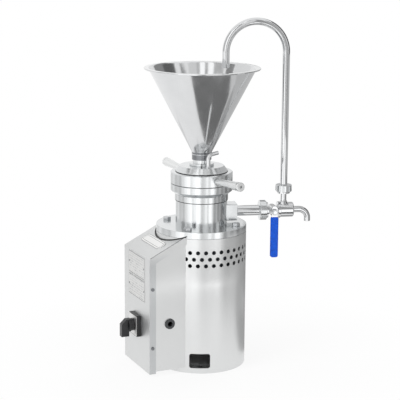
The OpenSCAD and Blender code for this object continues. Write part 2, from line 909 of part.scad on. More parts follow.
module lock_ring() {
    color("gainsboro") difference() {
        union() {
            translate([0, 0, z_lock]) cylinder(r1 = shoulder_r, r2 = ring_r, h = lock_chamfer);
            translate([0, 0, z_lock + lock_chamfer]) cylinder(r = ring_r, h = lock_ring_h - lock_chamfer);
        }
        translate([0, 0, z_lock - over]) cylinder(r = thread_r + fit_gap, h = lock_ring_h + 2 * over);
    }
}

module at_handle() {
    around(2, handle_angle) translate([ring_r, 0, z_handle]) rotate([0, 90 - handle_tilt, 0]) children();
}

module adjusting_ring() {
    color("gainsboro") difference() {
        union() {
            translate([0, 0, z_ring]) cylinder(r = ring_r, h = ring_h - ring_chamfer);
            translate([0, 0, z_ring_top - ring_chamfer])
                cylinder(r1 = ring_r, r2 = ring_r - ring_chamfer, h = ring_chamfer);
        }
        translate([0, 0, z_ring - over]) cylinder(r = thread_r + run_gap, h = ring_h + 2 * over);
        at_handle() {
            translate([0, 0, -handle_spot]) cylinder(d = handle_root_d + 3, h = handle_len);
            translate([0, 0, -handle_stub]) cylinder(d = handle_stub_d + 2 * fit_gap, h = handle_len);
        }
    }
}

module ring_handles() {
    taper = handle_len - handle_cap;
    color("whitesmoke") at_handle() difference() {
        union() {
            translate([0, 0, -handle_stub]) cylinder(d = handle_stub_d, h = handle_stub);
            translate([0, 0, -handle_spot])
                cylinder(d1 = handle_root_d, d2 = handle_tip_d, h = taper + handle_spot);
            translate([0, 0, taper]) cylinder(d = handle_tip_d - 3, h = 2);
            translate([0, 0, taper + 1.5]) round_bar(handle_tip_d / 2, handle_cap - 1.5, 1.5);
        }
        translate([0, 0, handle_len - handle_socket]) hexagon(handle_socket_d, handle_socket + over);
    }
}

module teeth(count, width, depth, z_low, z_high, grow) {
    z_mid = (z_low + z_high) / 2;
    cut_len = (z_high - z_low) / cos(mill_angle) / cos(tooth_skew);
    around(count)
        translate([mill_r(z_mid) + grow, 0, z_mid]) rotate([0, -mill_angle, 0]) rotate([tooth_skew, 0, 0])
            cube([2 * depth, width, cut_len], center = true);
}

module mill_rotor() {
    z_split = z_rotor_top - coarse_share * rotor_h;
    color("lightsteelblue") difference() {
        translate([0, 0, z_rotor]) cylinder(r1 = rotor_foot_r, r2 = rotor_top_r, h = rotor_h);
        cylinder(d = rotor_seat_d + 2 * run_gap, h = z_cover_top);
        key_cut();
        teeth(coarse_teeth, coarse_w, coarse_depth, z_split + 1, z_rotor_top + 2 * coarse_depth, 0);
        teeth(fine_teeth, fine_w, fine_depth, z_rotor - 2 * fine_depth, z_split - 1, 0);
    }
}

module rotor_cap() {
    color("silver") translate([0, 0, z_rotor_top]) difference() {
        union() {
            cylinder(r = cap_r, h = cap_flange);
            translate([0, 0, cap_flange]) hexagon(2 * cap_r - 5, cap_h - 2 * cap_flange);
            translate([0, 0, cap_h - cap_flange])
                cylinder(r1 = cap_r - 2.5, r2 = cap_r / 3, h = cap_flange);
        }
        translate([0, 0, -over]) cylinder(d = stud_d + 2 * fit_gap, h = stud_len + 2 * over);
    }
}

module mill_stator() {
    z_flange_low = z_ring_top - stator_flange_t;
    z_split = z_rotor_top - coarse_share * rotor_h;
    z_groove = z_flange_low - o_ring_drop;
    color("lightsteelblue") difference() {
        union() {
            translate([0, 0, z_stator]) cylinder(r = stator_r, h = z_ring_top - z_stator);
            translate([0, 0, z_flange_low]) cylinder(r = thread_r - fit_gap, h = stator_flange_t);
            translate([0, 0, z_ring_top]) cylinder(r = stator_spigot_r, h = stator_spigot_h);
        }
        translate([0, 0, z_rotor])
            cylinder(r1 = rotor_foot_r + mill_gap, r2 = stator_in_r, h = rotor_h);
        translate([0, 0, z_rotor_top - over / 2]) cylinder(r = stator_in_r, h = z_cover_top);
        teeth(fine_teeth, fine_w, fine_depth, z_stator - 2 * fine_depth, z_split - 1, mill_gap);
        teeth(coarse_teeth, coarse_w, coarse_depth, z_split + 1, z_rotor_top + 2 * coarse_depth, mill_gap);
        translate([0, 0, z_groove - o_ring_d / 2 - run_gap]) tube(stator_r + over, stator_r - o_ring_groove,
            o_ring_d + 2 * run_gap);
        guide_pin_holes(run_gap);
    }
}

module stator_o_ring() {
    color("black") translate([0, 0, z_ring_top - stator_flange_t - o_ring_drop])
        rotate_extrude() translate([stator_r - o_ring_groove / 2, 0]) circle(d = o_ring_d);
}

module seal_seat() {
    color("darkslategray") translate([0, 0, z_flange])
        tube(seal_seat_d / 2 - fit_gap, seal_journal_d / 2 + 2, floor_t);
}

module seal_ring() {
    color("dimgray") translate([0, 0, z_floor])
        tube(seal_ring_d / 2, seal_journal_d / 2 + run_gap, seal_ring_h);
}

// Coil of round wire between two heights, swept as one polyhedron
module coil(r, wire_d, turns, h, steps = 14, sides = 6) {
    rise = h - wire_d;
    count = turns * steps;
    points = [for (i = [0 : count], j = [0 : sides - 1])
        let (a = i * 360 / steps, b = j * 360 / sides, rr = r + wire_d / 2 * cos(b))
            [rr * cos(a), rr * sin(a), wire_d / 2 + rise * i / count + wire_d / 2 * sin(b)]];
    skin = [for (i = [0 : count - 1], j = [0 : sides - 1])
        let (k = (j + 1) % sides)
            [i * sides + j, i * sides + k, (i + 1) * sides + k, (i + 1) * sides + j]];
    first = [for (j = [sides - 1 : -1 : 0]) j];
    last = [for (j = [0 : sides - 1]) count * sides + j];
    polyhedron(points, concat(skin, [first, last]));
}

module seal_spring() {
    spring_h = z_rotor - z_floor - seal_ring_h - 2 * run_gap;
    color("silver") translate([0, 0, z_floor + seal_ring_h + run_gap])
        coil(spring_r, spring_wire_d, spring_turns, spring_h);
}

module cover() {
    color("gainsboro") difference() {
        union() {
            translate([0, 0, z_ring_top]) cylinder(r = cover_r, h = cover_edge);
            translate([0, 0, z_ring_top + cover_edge])
                cylinder(r1 = cover_r, r2 = cover_r - cover_bevel, h = cover_h - cover_edge);
        }
        translate([0, 0, z_ring_top - over])
            cylinder(r = collar_spigot_r + fit_gap, h = cover_h + 2 * over);
        translate([0, 0, z_ring_top - over])
            cylinder(r = stator_spigot_r + fit_gap, h = stator_spigot_h + fit_gap + over);
        translate([0, 0, z_ring_top - over]) tube(jacket_ir + jacket_w, jacket_ir, jacket_h + over);
        for (side = [-1, 1])
            translate([0, side * nipple_r, z_ring_top])
                cylinder(d = nipple_d + 2 * fit_gap, h = cover_h + over);
    }
}

module cooling_nipples() {
    color("whitesmoke") for (side = [-1, 1]) translate([0, side * nipple_r, z_cover_top]) {
        nipple_path(nipple_d / 2, nipple_d / 2 - nipple_wall);
        tube(nipple_foot_d / 2, (nipple_d - nipple_wall) / 2, nipple_foot_h);
    }
}

// Bent nipple tube: each stretch is a little wider than the one before and laps over its end
module nipple_path(outer_r, inner_r) {
    sunk = cover_h - jacket_h;
    stop = 180 - nipple_turn;
    translate([0, 0, -sunk]) tube(outer_r, inner_r, nipple_rise + sunk + nipple_lap);
    translate([nipple_bend_r, 0, nipple_rise]) {
        to_front() rotate([0, 0, stop]) rotate_extrude(angle = nipple_turn) translate([nipple_bend_r, 0])
            difference() {
                circle(outer_r + nipple_swell / 2);
                circle(inner_r + nipple_swell / 4);
            }
        translate([nipple_bend_r * cos(stop), 0, nipple_bend_r * sin(stop)]) rotate([0, nipple_turn, 0])
            translate([0, 0, -nipple_lap])
                tube(outer_r + nipple_swell, inner_r + nipple_swell / 2, nipple_tail);
    }
}

module hopper_collar() {
    color("gainsboro") difference() {
        union() {
            translate([0, 0, z_cover_top]) round_bar(collar_d / 2, collar_t, 1);
            translate([0, 0, z_cover_top]) cylinder(r = hub_r, h = collar_t + hub_h);
            translate([0, 0, z_cover_top - collar_spigot_h])
                cylinder(r = collar_spigot_r, h = collar_spigot_h);
        }
        translate([0, 0, z_ring_top]) cylinder(d = feed_d, h = z_rim);
        translate([0, 0, z_hub - hopper_spigot_h]) cylinder(r = hopper_spigot_r + fit_gap, h = z_rim);
    }
}

module hopper() {
    color("whitesmoke") union() {
        difference() {
            union() {
                translate([0, 0, z_hub - hopper_spigot_h])
                    cylinder(r = hopper_spigot_r, h = hopper_spigot_h);
                translate([0, 0, z_hub]) cylinder(d = neck_d, h = neck_h);
                translate([0, 0, z_cone]) cylinder(r1 = neck_d / 2, r2 = rim_r, h = cone_h);
                translate([0, 0, z_rim - hopper_sheet]) cylinder(r = lip_r - lip_bead_r, h = hopper_sheet);
            }
            cylinder(d = feed_d, h = z_rim);
            translate([0, 0, z_hub + neck_floor])
                cylinder(r = neck_d / 2 - cone_wall, h = neck_h - neck_floor);
            translate([0, 0, z_cone])
                cylinder(r1 = neck_d / 2 - cone_wall, r2 = rim_r - cone_wall, h = cone_h);
            translate([0, 0, z_rim - hopper_sheet / 2])
                cylinder(r = rim_r - 1.5 * cone_wall, h = hopper_sheet);
        }
        translate([0, 0, z_rim - lip_bead_r]) rotate_extrude() translate([lip_r - lip_bead_r, 0])
            circle(lip_bead_r);
    }
}

/* Outlet line */

module outlet_pipe() {
    color("silver") on_outlet() translate([0, 0, z_axis]) along_x() difference() {
        union() {
            translate([0, 0, x_boss - pipe_socket])
                cylinder(d = pipe_d, h = pipe_socket + pipe_len + liner_t);
            translate([0, 0, x_liner]) cylinder(r = nut_thread_r - free_gap, h = liner_t);
        }
        translate([0, 0, x_boss - pipe_socket - over]) cylinder(d = pipe_bore_d, h = x_valve);
    }
}

module outlet_union_nut() {
    color("silver") on_outlet() translate([x_liner - nut_wall, 0, z_axis]) along_x()
        slotted_nut(nut_d, nut_len, nut_thread_r + fit_gap, pipe_d / 2 + fit_gap);
}

module union_gaskets() {
    color("white") on_outlet() {
        translate([x_gasket, 0, z_axis]) along_x() tube(nut_thread_r - free_gap, pipe_bore_d / 2, gasket_t);
        translate([x_branch, 0, z_branch_top])
            tube(return_thread_r - free_gap, branch_bore_d / 2, gasket_t);
    }
}

module valve_body() {
    color("silver") on_outlet() difference() {
        union() {
            translate([x_valve, 0, z_axis]) along_x() cylinder(r = nut_thread_r, h = valve_end);
            translate([x_valve, 0, z_axis]) along_x()
                cylinder(d = valve_neck_d, h = x_barrel - x_valve + barrel_round);
            translate([x_barrel, 0, z_axis]) along_x() round_bar(barrel_d / 2, barrel_len, barrel_round);
            translate([x_barrel, 0, z_axis]) along_x()
                round_bar(barrel_d / 2 + barrel_rim_h, barrel_rim_w, 1);
            translate([x_plug, plug_boss_back, z_axis]) to_front()
                round_bar(plug_boss_d / 2, plug_boss_back + plug_boss_front, 1);
            translate([x_branch, 0, z_axis]) cylinder(d = branch_d, h = branch_h);
            translate([x_branch, 0, z_axis + barrel_d / 2 - branch_flare / 2])
                cylinder(r1 = branch_foot_r, r2 = branch_d / 2, h = branch_flare);
            translate([x_branch, 0, z_branch_top - valve_end]) cylinder(r = return_thread_r, h = valve_end);
        }
        translate([x_valve - over, 0, z_axis]) along_x()
            cylinder(d = valve_bore_d, h = x_barrel_end - x_valve);
        translate([x_valve - over, 0, z_axis]) along_x()
            cylinder(d1 = pipe_bore_d + 1, d2 = valve_bore_d, h = valve_end);
        translate([x_barrel_end - spout_socket, 0, z_axis]) along_x()
            cylinder(d = spout_d + 2 * fit_gap, h = spout_socket + over);
        translate([x_branch, 0, z_axis]) cylinder(d = branch_bore_d, h = branch_h + over);
        translate([x_plug, plug_back, z_axis]) to_front()
            cylinder(d = plug_d + 2 * run_gap, h = plug_boss_d * 2);
    }
}

module gland_nut() {
    color("silver") on_outlet() translate([x_plug, -plug_boss_front, z_axis]) to_front() difference() {
        hexagon(gland_af, gland_h);
        translate([0, 0, -over]) cylinder(d = stem_d + 2 * run_gap, h = gland_h + 2 * over);
    }
}

module valve_plug() {
    stud_len_front = strip_t + lever_nut_h + 1;
    color("gainsboro") on_outlet() translate([x_plug, 0, z_axis]) to_front() difference() {
        union() {
            translate([0, 0, run_gap - plug_back])
                cylinder(d = plug_d, h = plug_back + plug_front - run_gap);
            translate([0, 0, plug_front]) cylinder(d = stem_d, h = strip_front - plug_front);
            translate([0, 0, strip_front]) cylinder(d = stud_tip_d, h = stud_len_front);
        }
        rotate([90, 0, 0]) translate([0, 0, -plug_d]) cylinder(d = valve_bore_d, h = 2 * plug_d);
    }
}

module lever_strip() {
    strip_end = grip_start + grip_overlap;
    color("silver") on_outlet() translate([x_plug, -strip_front, z_axis]) to_front()
        linear_extrude(strip_t) difference() {
        union() {
            translate([0, strip_top - strip_w / 2]) circle(d = strip_w);
            translate([-strip_w / 2, -strip_end]) square([strip_w, strip_end + strip_top - strip_w / 2]);
            circle(d = strip_w + 4);
        }
        circle(d = stud_tip_d + 2 * fit_gap);
    }
}

module lever_grip() {
    y_mid = strip_front + strip_t / 2;
    color("royalblue") on_outlet() translate([x_plug, -y_mid, z_axis - grip_start - grip_len])
        difference() {
        intersection() {
            linear_extrude(grip_len) rounded_square(grip_w, grip_t, grip_round);
            translate([0, grip_t, grip_len / 2]) to_front() linear_extrude(2 * grip_t)
                rounded_square(grip_w + over, grip_len, grip_w / 3);
        }
        translate([-strip_w / 2 - fit_gap, -strip_t / 2 - fit_gap, grip_len - grip_overlap - fit_gap])
            cube([strip_w + 2 * fit_gap, strip_t + 2 * fit_gap, grip_overlap + over]);
    }
}

module lever_nut() {
    color("silver") on_outlet() translate([x_plug, -strip_front - strip_t, z_axis]) to_front()
        difference() {
        hexagon(lever_nut_af, lever_nut_h);
        translate([0, 0, -over]) cylinder(d = stud_tip_d + 2 * fit_gap, h = lever_nut_h + 2 * over);
    }
}

module spout_path(r, extra) {
    x_start = x_barrel_end - spout_socket - extra;
    translate([x_start, 0, z_axis]) along_x() cylinder(r = r, h = x_spout_bend - x_start);
    translate([x_spout_bend, 0, z_axis - spout_bend_r])
        to_front() rotate_extrude(angle = 90) translate([spout_bend_r, 0]) circle(r);
    translate([x_spout_bend + spout_bend_r, 0, z_axis - spout_bend_r - spout_drop - extra])
        cylinder(r = r, h = spout_drop + extra);
}

module spout() {
    color("silver") on_outlet() difference() {
        spout_path(spout_d / 2, 0);
        spout_path(spout_d / 2 - spout_wall, over);
    }
}

module return_union_nut() {
    color("silver") on_outlet() translate([x_branch, 0, z_return_pipe + nut_wall]) mirror([0, 0, 1])
        slotted_nut(return_nut_d, return_nut_h, return_thread_r + fit_gap, return_d / 2 + free_gap);
}

module return_path(r, extra) {
    z_start = z_return_liner - extra;
    translate([x_branch, 0, z_start]) cylinder(r = r, h = z_bend - z_start);
    translate([x_bend, 0, z_bend]) to_front() rotate_extrude(angle = 180)
        translate([return_bend_r, 0]) circle(r);
    translate([x_dip, 0, z_dip - extra]) cylinder(r = r, h = z_bend - z_dip + extra);
}

module return_pipe() {
    color("silver") on_outlet() difference() {
        union() {
            return_path(return_d / 2, 0);
            translate([x_branch, 0, z_return_liner]) cylinder(r = return_thread_r - free_gap, h = liner_t);
        }
        return_path(return_d / 2 - return_wall, over);
    }
}

/* Control box */

// Space taken by the shroud, with room for the box's edges
module shroud_space() { translate([0, 0, -over]) cylinder(r = shroud_r + fit_gap, h = z_rim); }

// Band along the lid's front and top, drawn as distance in front of the axis and height
module lid_band(width) {
    drop = width / cos(box_slope);
    polygon([
        [box_x, lid_lift],
        [box_x, box_front_h],
        [0, slope_z(0)],
        [0, slope_z(0) - drop],
        [box_x - width, slope_z(box_x - width) - drop],
        [box_x - width, lid_lift]
    ]);
}

// Extrudes an outline of distance and height sideways, between two places
module sideways(y_low, y_high) {
    translate([0, y_high, 0]) rotate([90, 0, 0]) mirror([1, 0, 0]) linear_extrude(y_high - y_low)
        children();
}

module box_lid() {
    color("lightgray") difference() {
        union() {
            sideways(-lid_half, lid_half) lid_band(box_sheet);
            sideways(-lid_half, -lid_half + box_sheet) lid_band(lid_flange);
            sideways(lid_half - box_sheet, lid_half) lid_band(lid_flange);
        }
        shroud_space();
        at_lid_screws() cylinder(d = lid_screw_d + 2 * fit_gap, h = 4 * lid_screw_len, center = true);
        translate([-box_x - over, 0, switch_z]) along_x()
            cylinder(d = spindle_d + 4, h = box_sheet + 2 * over);
    }
}

// Outline of a box side wall under the lid
module side_outline() {
    under = (box_sheet + fit_gap) / cos(box_slope);
    front = box_x - box_sheet - fit_gap;
    polygon([[front, box_lift], [front, slope_z(front) - under], [0, slope_z(0) - under], [0, box_lift]]);
}

module box_body() {
    front = box_x - box_sheet - fit_gap;
    color("lightgray") difference() {
        union() {
            for (side = [-1, 1]) {
                y_mid = side * (side_half - box_sheet / 2);
                sideways(y_mid - box_sheet / 2, y_mid + box_sheet / 2) side_outline();
                sideways(side * (side_half - return_flange_w / 2) - return_flange_w / 2,
                    side * (side_half - return_flange_w / 2) + return_flange_w / 2)
                    translate([front - box_sheet, box_lift])
                        square([box_sheet, slope_z(front) - 2 * box_sheet / cos(box_slope) - box_lift]);
            }
            translate([-front, -side_half, box_lift]) cube([front, 2 * side_half, box_sheet]);
        }
        shroud_space();
        at_lid_screws() cylinder(d = lid_screw_d + 2 * fit_gap, h = 4 * lid_screw_len, center = true);
        translate([grommet_back - box_x, -side_half - over, grommet_z])
            rotate([-90, 0, 0]) cylinder(r = grommet_neck_r() + fit_gap, h = box_sheet + 2 * over);
    }
}

function grommet_neck_r() = grommet_d / 2 - 2.5;

module at_lid_screws() {
    for (side = [0, 1], z = [screw_low, screw_high])
        mirror([0, side, 0]) translate([lid_screw_back - box_x, -lid_half, z]) to_front() children();
}

module lid_screws() {
    color("silver") at_lid_screws() {
        translate([0, 0, -lid_screw_len]) cylinder(d = lid_screw_d, h = lid_screw_len);
        round_bar(lid_screw_head_d / 2, lid_screw_head_h, 0.8);
    }
}

// Places a flat outline on the lid's front, with its width across the box
module on_front(z) { translate([-box_x, 0, z]) rotate([90, 0, -90]) children(); }

module data_plates() {
    color("white") {
        on_front(plate_z) linear_extrude(plate_t) rounded_square(plate_w, plate_h, 2);
        on_front(plate_low_z) linear_extrude(plate_t) rounded_square(plate_w, plate_low_h, 2);
    }
}

module plate_rivets() {
    color("silver") for (z = [plate_z, plate_low_z], side = [-1, 1])
        on_front(z) translate([side * (plate_w / 2 - rivet_inset), 0, plate_t])
            cylinder(d1 = rivet_d, d2 = rivet_d - 1.5, h = rivet_h);
}

module name_badge() {
    badge_x = shroud_r + badge_w / 2 + badge_back;
    color("white") translate([-badge_x, 0, slope_z(badge_x)]) rotate([0, -box_slope, 0])
        linear_extrude(badge_t) rounded_square(badge_w, badge_len, badge_w / 2 - 0.01);
}

module switch_bezel() {
    color("black") on_front(switch_z) difference() {
        linear_extrude(bezel_t) rounded_square(bezel_w, bezel_w, bezel_round);
        translate([0, 0, -over]) cylinder(d = spindle_d + 2 * free_gap, h = bezel_t + 2 * over);
    }
}

module switch_face() {
    color("gainsboro") on_front(switch_z) translate([0, 0, bezel_t]) linear_extrude(face_t) difference() {
        rounded_square(face_w, face_w, bezel_round / 2);
        circle(d = spindle_d + 2 * free_gap);
    }
}

module switch_block() {
    color("dimgray") on_front(switch_z) translate([0, 0, -box_sheet - block_len]) difference() {
        linear_extrude(block_len) rounded_square(block_w, block_w, 2);
        translate([0, 0, block_len - block_bore])
            cylinder(d = spindle_d + 2 * free_gap, h = block_bore + over);
    }
}

module switch_spindle() {
    inner_end = box_sheet + block_bore - free_gap;
    color("silver") on_front(switch_z) translate([0, 0, -inner_end])
        cylinder(d = spindle_d, h = inner_end + bezel_t + face_t + free_gap + knob_bore);
}

module switch_knob() {
    front = bezel_t + face_t + free_gap;
    color("black") on_front(switch_z) translate([0, 0, front]) difference() {
        union() {
            round_bar(knob_d / 2, knob_hub_h, 2);
            intersection() {
                translate([-knob_w / 2, -knob_down, knob_hub_h / 2])
                    cube([knob_w, knob_down + knob_up, knob_reach - knob_hub_h / 2]);
                rotate([0, 90, 0]) translate([0, 0, -knob_w]) linear_extrude(2 * knob_w) knob_outline();
            }
        }
        translate([0, 0, -over]) cylinder(d = spindle_d + 2 * fit_gap, h = knob_bore + over + fit_gap);
    }
}

// Side view of the pistol grip: reach to the left, length upwards
module knob_outline() {
    nose = knob_reach * 0.4;
    heel = knob_depth - knob_reach;
    polygon([
        [0, -knob_d / 2], [heel, -knob_d / 2], [heel, -knob_down], [-knob_reach, -knob_down],
        [-knob_reach, knob_up - nose], [-knob_reach + nose, knob_up], [0, knob_up]
    ]);
}

module terminal_block() {
    way = terminal_len / terminal_ways;
    color("white") translate([-box_x + 2 * lid_flange, -terminal_len / 2, box_lift + box_sheet])
        difference() {
        cube([terminal_w, terminal_len, terminal_h]);
        for (i = [0 : terminal_ways - 1]) translate([terminal_w / 2, (i + 0.5) * way, terminal_h / 2])
            cylinder(d = way / 2, h = terminal_h);
    }
}

module cable_grommet() {
    color("black") translate([grommet_back - box_x, -side_half - grommet_lip, grommet_z])
        rotate([-90, 0, 0]) difference() {
        union() {
            round_bar(grommet_d / 2, grommet_lip, 1.2);
            cylinder(r = grommet_neck_r(), h = 2 * grommet_lip + box_sheet);
            translate([0, 0, grommet_lip + box_sheet]) round_bar(grommet_d / 2 - 0.5, grommet_lip, 1.2);
        }
        translate([0, 0, -over]) cylinder(d = grommet_bore_d, h = 3 * grommet_lip + box_sheet);
    }
}

base_ring();
motor_shroud();
top_flange();
flange_bolts();
motor_frame();
stator_core();
windings();
lower_end_shield();
shield_screws();
bearing_outer_rings();
mill_body();
body_screws();
lock_ring();
guide_pins();
seal_seat();
outlet_pipe();
outlet_union_nut();
union_gaskets();
valve_body();
gland_nut();
spout();
return_union_nut();
box_body();
box_lid();
lid_screws();
data_plates();
name_badge();
plate_rivets();
switch_bezel();
switch_face();
switch_block();
terminal_block();
cable_grommet();
main_shaft();
rotor_core();
rotor_key();
cooling_fan();
bearing_inner_rings();
bearing_balls();
seal_ring();
seal_spring();
mill_rotor();
rotor_cap();
cover();
mill_stator();
stator_o_ring();
hopper_collar();
hopper();
cooling_nipples();
adjusting_ring();
ring_handles();
valve_plug();
lever_strip();
lever_grip();
lever_nut();
switch_knob();
switch_spindle();
return_pipe();
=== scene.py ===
# %% [markdown]
# # A colloid mill in polished stainless steel
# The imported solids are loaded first. They are the fixed frame: every piece that
# follows is in metres, in the same place as the solid that it dresses. Sizes are
# written in millimetres, as on a workshop drawing, and MM turns them to metres.

# %% Load the frame
import json
import math
import bpy
from mathutils import Matrix, Vector


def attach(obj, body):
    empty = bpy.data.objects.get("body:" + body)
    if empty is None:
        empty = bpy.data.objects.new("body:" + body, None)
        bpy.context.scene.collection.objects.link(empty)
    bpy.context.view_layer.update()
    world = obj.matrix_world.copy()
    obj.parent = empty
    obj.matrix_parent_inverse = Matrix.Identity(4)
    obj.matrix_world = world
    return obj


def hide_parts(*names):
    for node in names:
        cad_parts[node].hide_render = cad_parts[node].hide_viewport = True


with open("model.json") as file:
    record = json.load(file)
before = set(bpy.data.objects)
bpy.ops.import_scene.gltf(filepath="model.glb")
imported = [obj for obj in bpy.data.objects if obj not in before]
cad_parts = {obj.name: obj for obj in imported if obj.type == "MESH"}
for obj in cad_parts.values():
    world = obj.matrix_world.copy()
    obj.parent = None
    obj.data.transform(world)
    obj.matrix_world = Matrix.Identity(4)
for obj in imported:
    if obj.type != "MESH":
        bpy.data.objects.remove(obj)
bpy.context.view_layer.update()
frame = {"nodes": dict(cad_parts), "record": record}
scene = bpy.context.scene
MM = 0.001

# %% [markdown]
# ## Camera
# The photograph is a long-lens product shot: the camera stands nearly three metres
# away, a little above the machine, and turned to show the control box on the left.
# It could be placed by eye, but a long lens hides small errors of angle. The numbers
# come from fitting the corners of the box, the rim, the rings and the outlet line, so
# the camera is set by its matrix.

# %% Camera
AZIMUTH, ELEVATION, ROLL = math.radians(-24.31), math.radians(12.32), math.radians(0.43)
DISTANCE = 2.966  # metres from the aim to the camera
AIM_RIGHT, AIM_UP = -0.00305, 0.36917  # metres from the foot of the housing's axis
FOCAL_PX, IMAGE_PX = 1339.5, 400  # focal length and image width in pixels
SENSOR = 36.0  # mm

towards = Vector((math.sin(AZIMUTH) * math.cos(ELEVATION), -math.cos(AZIMUTH) * math.cos(ELEVATION),
                  math.sin(ELEVATION)))
level_right = Vector((math.cos(AZIMUTH), math.sin(AZIMUTH), 0))
level_up = towards.cross(level_right)
cam_right = math.cos(ROLL) * level_right + math.sin(ROLL) * level_up
cam_up = math.cos(ROLL) * level_up - math.sin(ROLL) * level_right
aim = level_right * AIM_RIGHT + Vector((0, 0, AIM_UP))

bpy.ops.object.select_all(action="DESELECT")
bpy.ops.object.camera_add()
camera = bpy.context.object
camera.name = "photo_camera"
camera.data.sensor_width = SENSOR
camera.data.lens = FOCAL_PX / IMAGE_PX * SENSOR
placed = Matrix((cam_right, cam_up, towards)).transposed().to_4x4()
placed.translation = aim + towards * DISTANCE
camera.matrix_world = placed
scene.camera = camera
print("lens", round(camera.data.lens, 1), "mm at", [round(v, 3) for v in placed.translation])

# %% [markdown]
# ## White world
# The background is pure white. More lamps would only bleach the steel, so the world
# is white to the camera and to reflections, and a softer grey to diffuse light.

# %% White world
scene.view_settings.view_transform = "Standard"
WHITE = (1, 1, 1, 1)
FILL_LIGHT, BACKDROP_LIGHT = 0.55, 1.0


def add_node(tree, kind, values=None, links=None, **settings):
    """Adds one shader node with its settings, socket values and incoming links."""
    made = tree.nodes.new(kind)
    for key, value in settings.items():
        setattr(made, key, value)
    for socket, value in (values or {}).items():
        made.inputs[socket].default_value = value
    for socket, source in (links or {}).items():
        tree.links.new(source, made.inputs[socket])
    return made


world = bpy.data.worlds.new("white_studio")
scene.world = world
world.use_nodes = True
sky = world.node_tree
sky.nodes.clear()
rays = add_node(sky, "ShaderNodeLightPath")
seen = add_node(sky, "ShaderNodeMath", operation="MAXIMUM",
                links={0: rays.outputs["Is Camera Ray"], 1: rays.outputs["Is Glossy Ray"]})
seen_through = add_node(sky, "ShaderNodeMath", operation="MAXIMUM",
                        links={0: seen.outputs[0], 1: rays.outputs["Is Transmission Ray"]})
fill = add_node(sky, "ShaderNodeBackground", values={"Color": WHITE, "Strength": FILL_LIGHT})
backdrop = add_node(sky, "ShaderNodeBackground", values={"Color": WHITE, "Strength": BACKDROP_LIGHT})
both = add_node(sky, "ShaderNodeMixShader",
                links={0: seen_through.outputs[0], 1: fill.outputs[0], 2: backdrop.outputs[0]})
add_node(sky, "ShaderNodeOutputWorld", links={"Surface": both.outputs[0]})
print("world:", FILL_LIGHT, "to diffuse light,", BACKDROP_LIGHT, "to the camera and to reflections")

# %% [markdown]
# ## Floor
# The machine stands on white paper that runs into the backdrop. A plain white floor
# would turn grey at a distance, so the paper glows to the camera and to reflections.
# Near the housing it glows less and keeps the machine's shadow.

# %% Floor
FLOOR_SIZE = 12.0  # metres
FOOT_R, SHADE_R, CLEAR_R = 0.098, 0.1, 0.6  # metres: under the housing, at its wall, clear of it
SHADED_GLOW = 0.86  # share of the glow that is left at the wall
PAPER_WHITE = (0.9, 0.9, 0.9, 1)

bpy.ops.object.select_all(action="DESELECT")
bpy.ops.mesh.primitive_grid_add(x_subdivisions=4, y_subdivisions=4, size=FLOOR_SIZE)
floor = bpy.context.object
floor.name = "studio_floor"
paper = bpy.data.materials.new("white_paper_floor")
paper.use_nodes = True
sheet = paper.node_tree
sheet.nodes.clear()
rays = add_node(sheet, "ShaderNodeLightPath")
seen = add_node(sheet, "ShaderNodeMath", operation="MAXIMUM",
                links={0: rays.outputs["Is Camera Ray"], 1: rays.outputs["Is Glossy Ray"]})
spot = add_node(sheet, "ShaderNodeTexCoord")
far = add_node(sheet, "ShaderNodeVectorMath", operation="LENGTH", links={0: spot.outputs["Object"]})
clear = add_node(sheet, "ShaderNodeMapRange",
                 values={"From Min": SHADE_R, "From Max": CLEAR_R, "To Min": SHADED_GLOW},
                 links={"Value": far.outputs["Value"]})
outside = add_node(sheet, "ShaderNodeMath", operation="GREATER_THAN", values={1: FOOT_R},
                   links={0: far.outputs["Value"]})
open_paper = add_node(sheet, "ShaderNodeMath", operation="MULTIPLY",
                      links={0: clear.outputs[0], 1: outside.outputs[0]})
glow_share = add_node(sheet, "ShaderNodeMath", operation="MULTIPLY",
                      links={0: seen.outputs[0], 1: open_paper.outputs[0]})
matt = add_node(sheet, "ShaderNodeBsdfDiffuse", values={"Color": PAPER_WHITE})
glow = add_node(sheet, "ShaderNodeEmission", values={"Color": WHITE, "Strength": 1.0})
surface = add_node(sheet, "ShaderNodeMixShader",
                   links={0: glow_share.outputs[0], 1: matt.outputs[0], 2: glow.outputs[0]})
add_node(sheet, "ShaderNodeOutputMaterial", links={"Surface": surface.outputs[0]})
floor.data.materials.append(paper)
print("floor", FLOOR_SIZE, "m")

# %% [markdown]
# ## Lamps
# Three large soft lamps stand round the machine at a plain level. They model the
# matt parts. Reflections leave them out, because cards draw the steel's streaks.

# %% Lamps
TURN_TO_CAMERA = math.atan2(towards.y, towards.x)
LAMP_DISTANCE, LAMP_AIM = 2.4, 0.35  # metres from the axis, and the height that a lamp looks at
# Each lamp's turn to the right of the camera in degrees, its height and size in metres, its watts.
LAMPS = (("key_softbox", -50, 1.9, 1.4, 34), ("front_fill", 20, 1.5, 1.6, 14),
         ("top_softbox", 150, 2.4, 1.6, 16))


def around_machine(turn, distance, height):
    """A place round the machine, by its turn to the right of the camera in degrees."""
    angle = TURN_TO_CAMERA + math.radians(turn)
    return Vector((distance * math.cos(angle), distance * math.sin(angle), height))


for name, turn, height, size, power in LAMPS:
    bpy.ops.object.light_add(type="AREA", location=around_machine(turn, LAMP_DISTANCE, height))
    lamp = bpy.context.object
    lamp.name = name
    lamp.data.size = size
    lamp.data.energy = power
    lamp.visible_glossy = False
    to_aim = Vector((0, 0, LAMP_AIM)) - lamp.location
    lamp.rotation_euler = to_aim.to_track_quat("-Z", "Y").to_euler()
print("lamps:", len(LAMPS))

# %% [markdown]
# ## A card
# Polished steel shows mostly what stands round it, so a studio puts dark and light
# cards beside the machine to draw its streaks. Each card is a plane pulled to four
# corners, with an even glow that only reflections see.

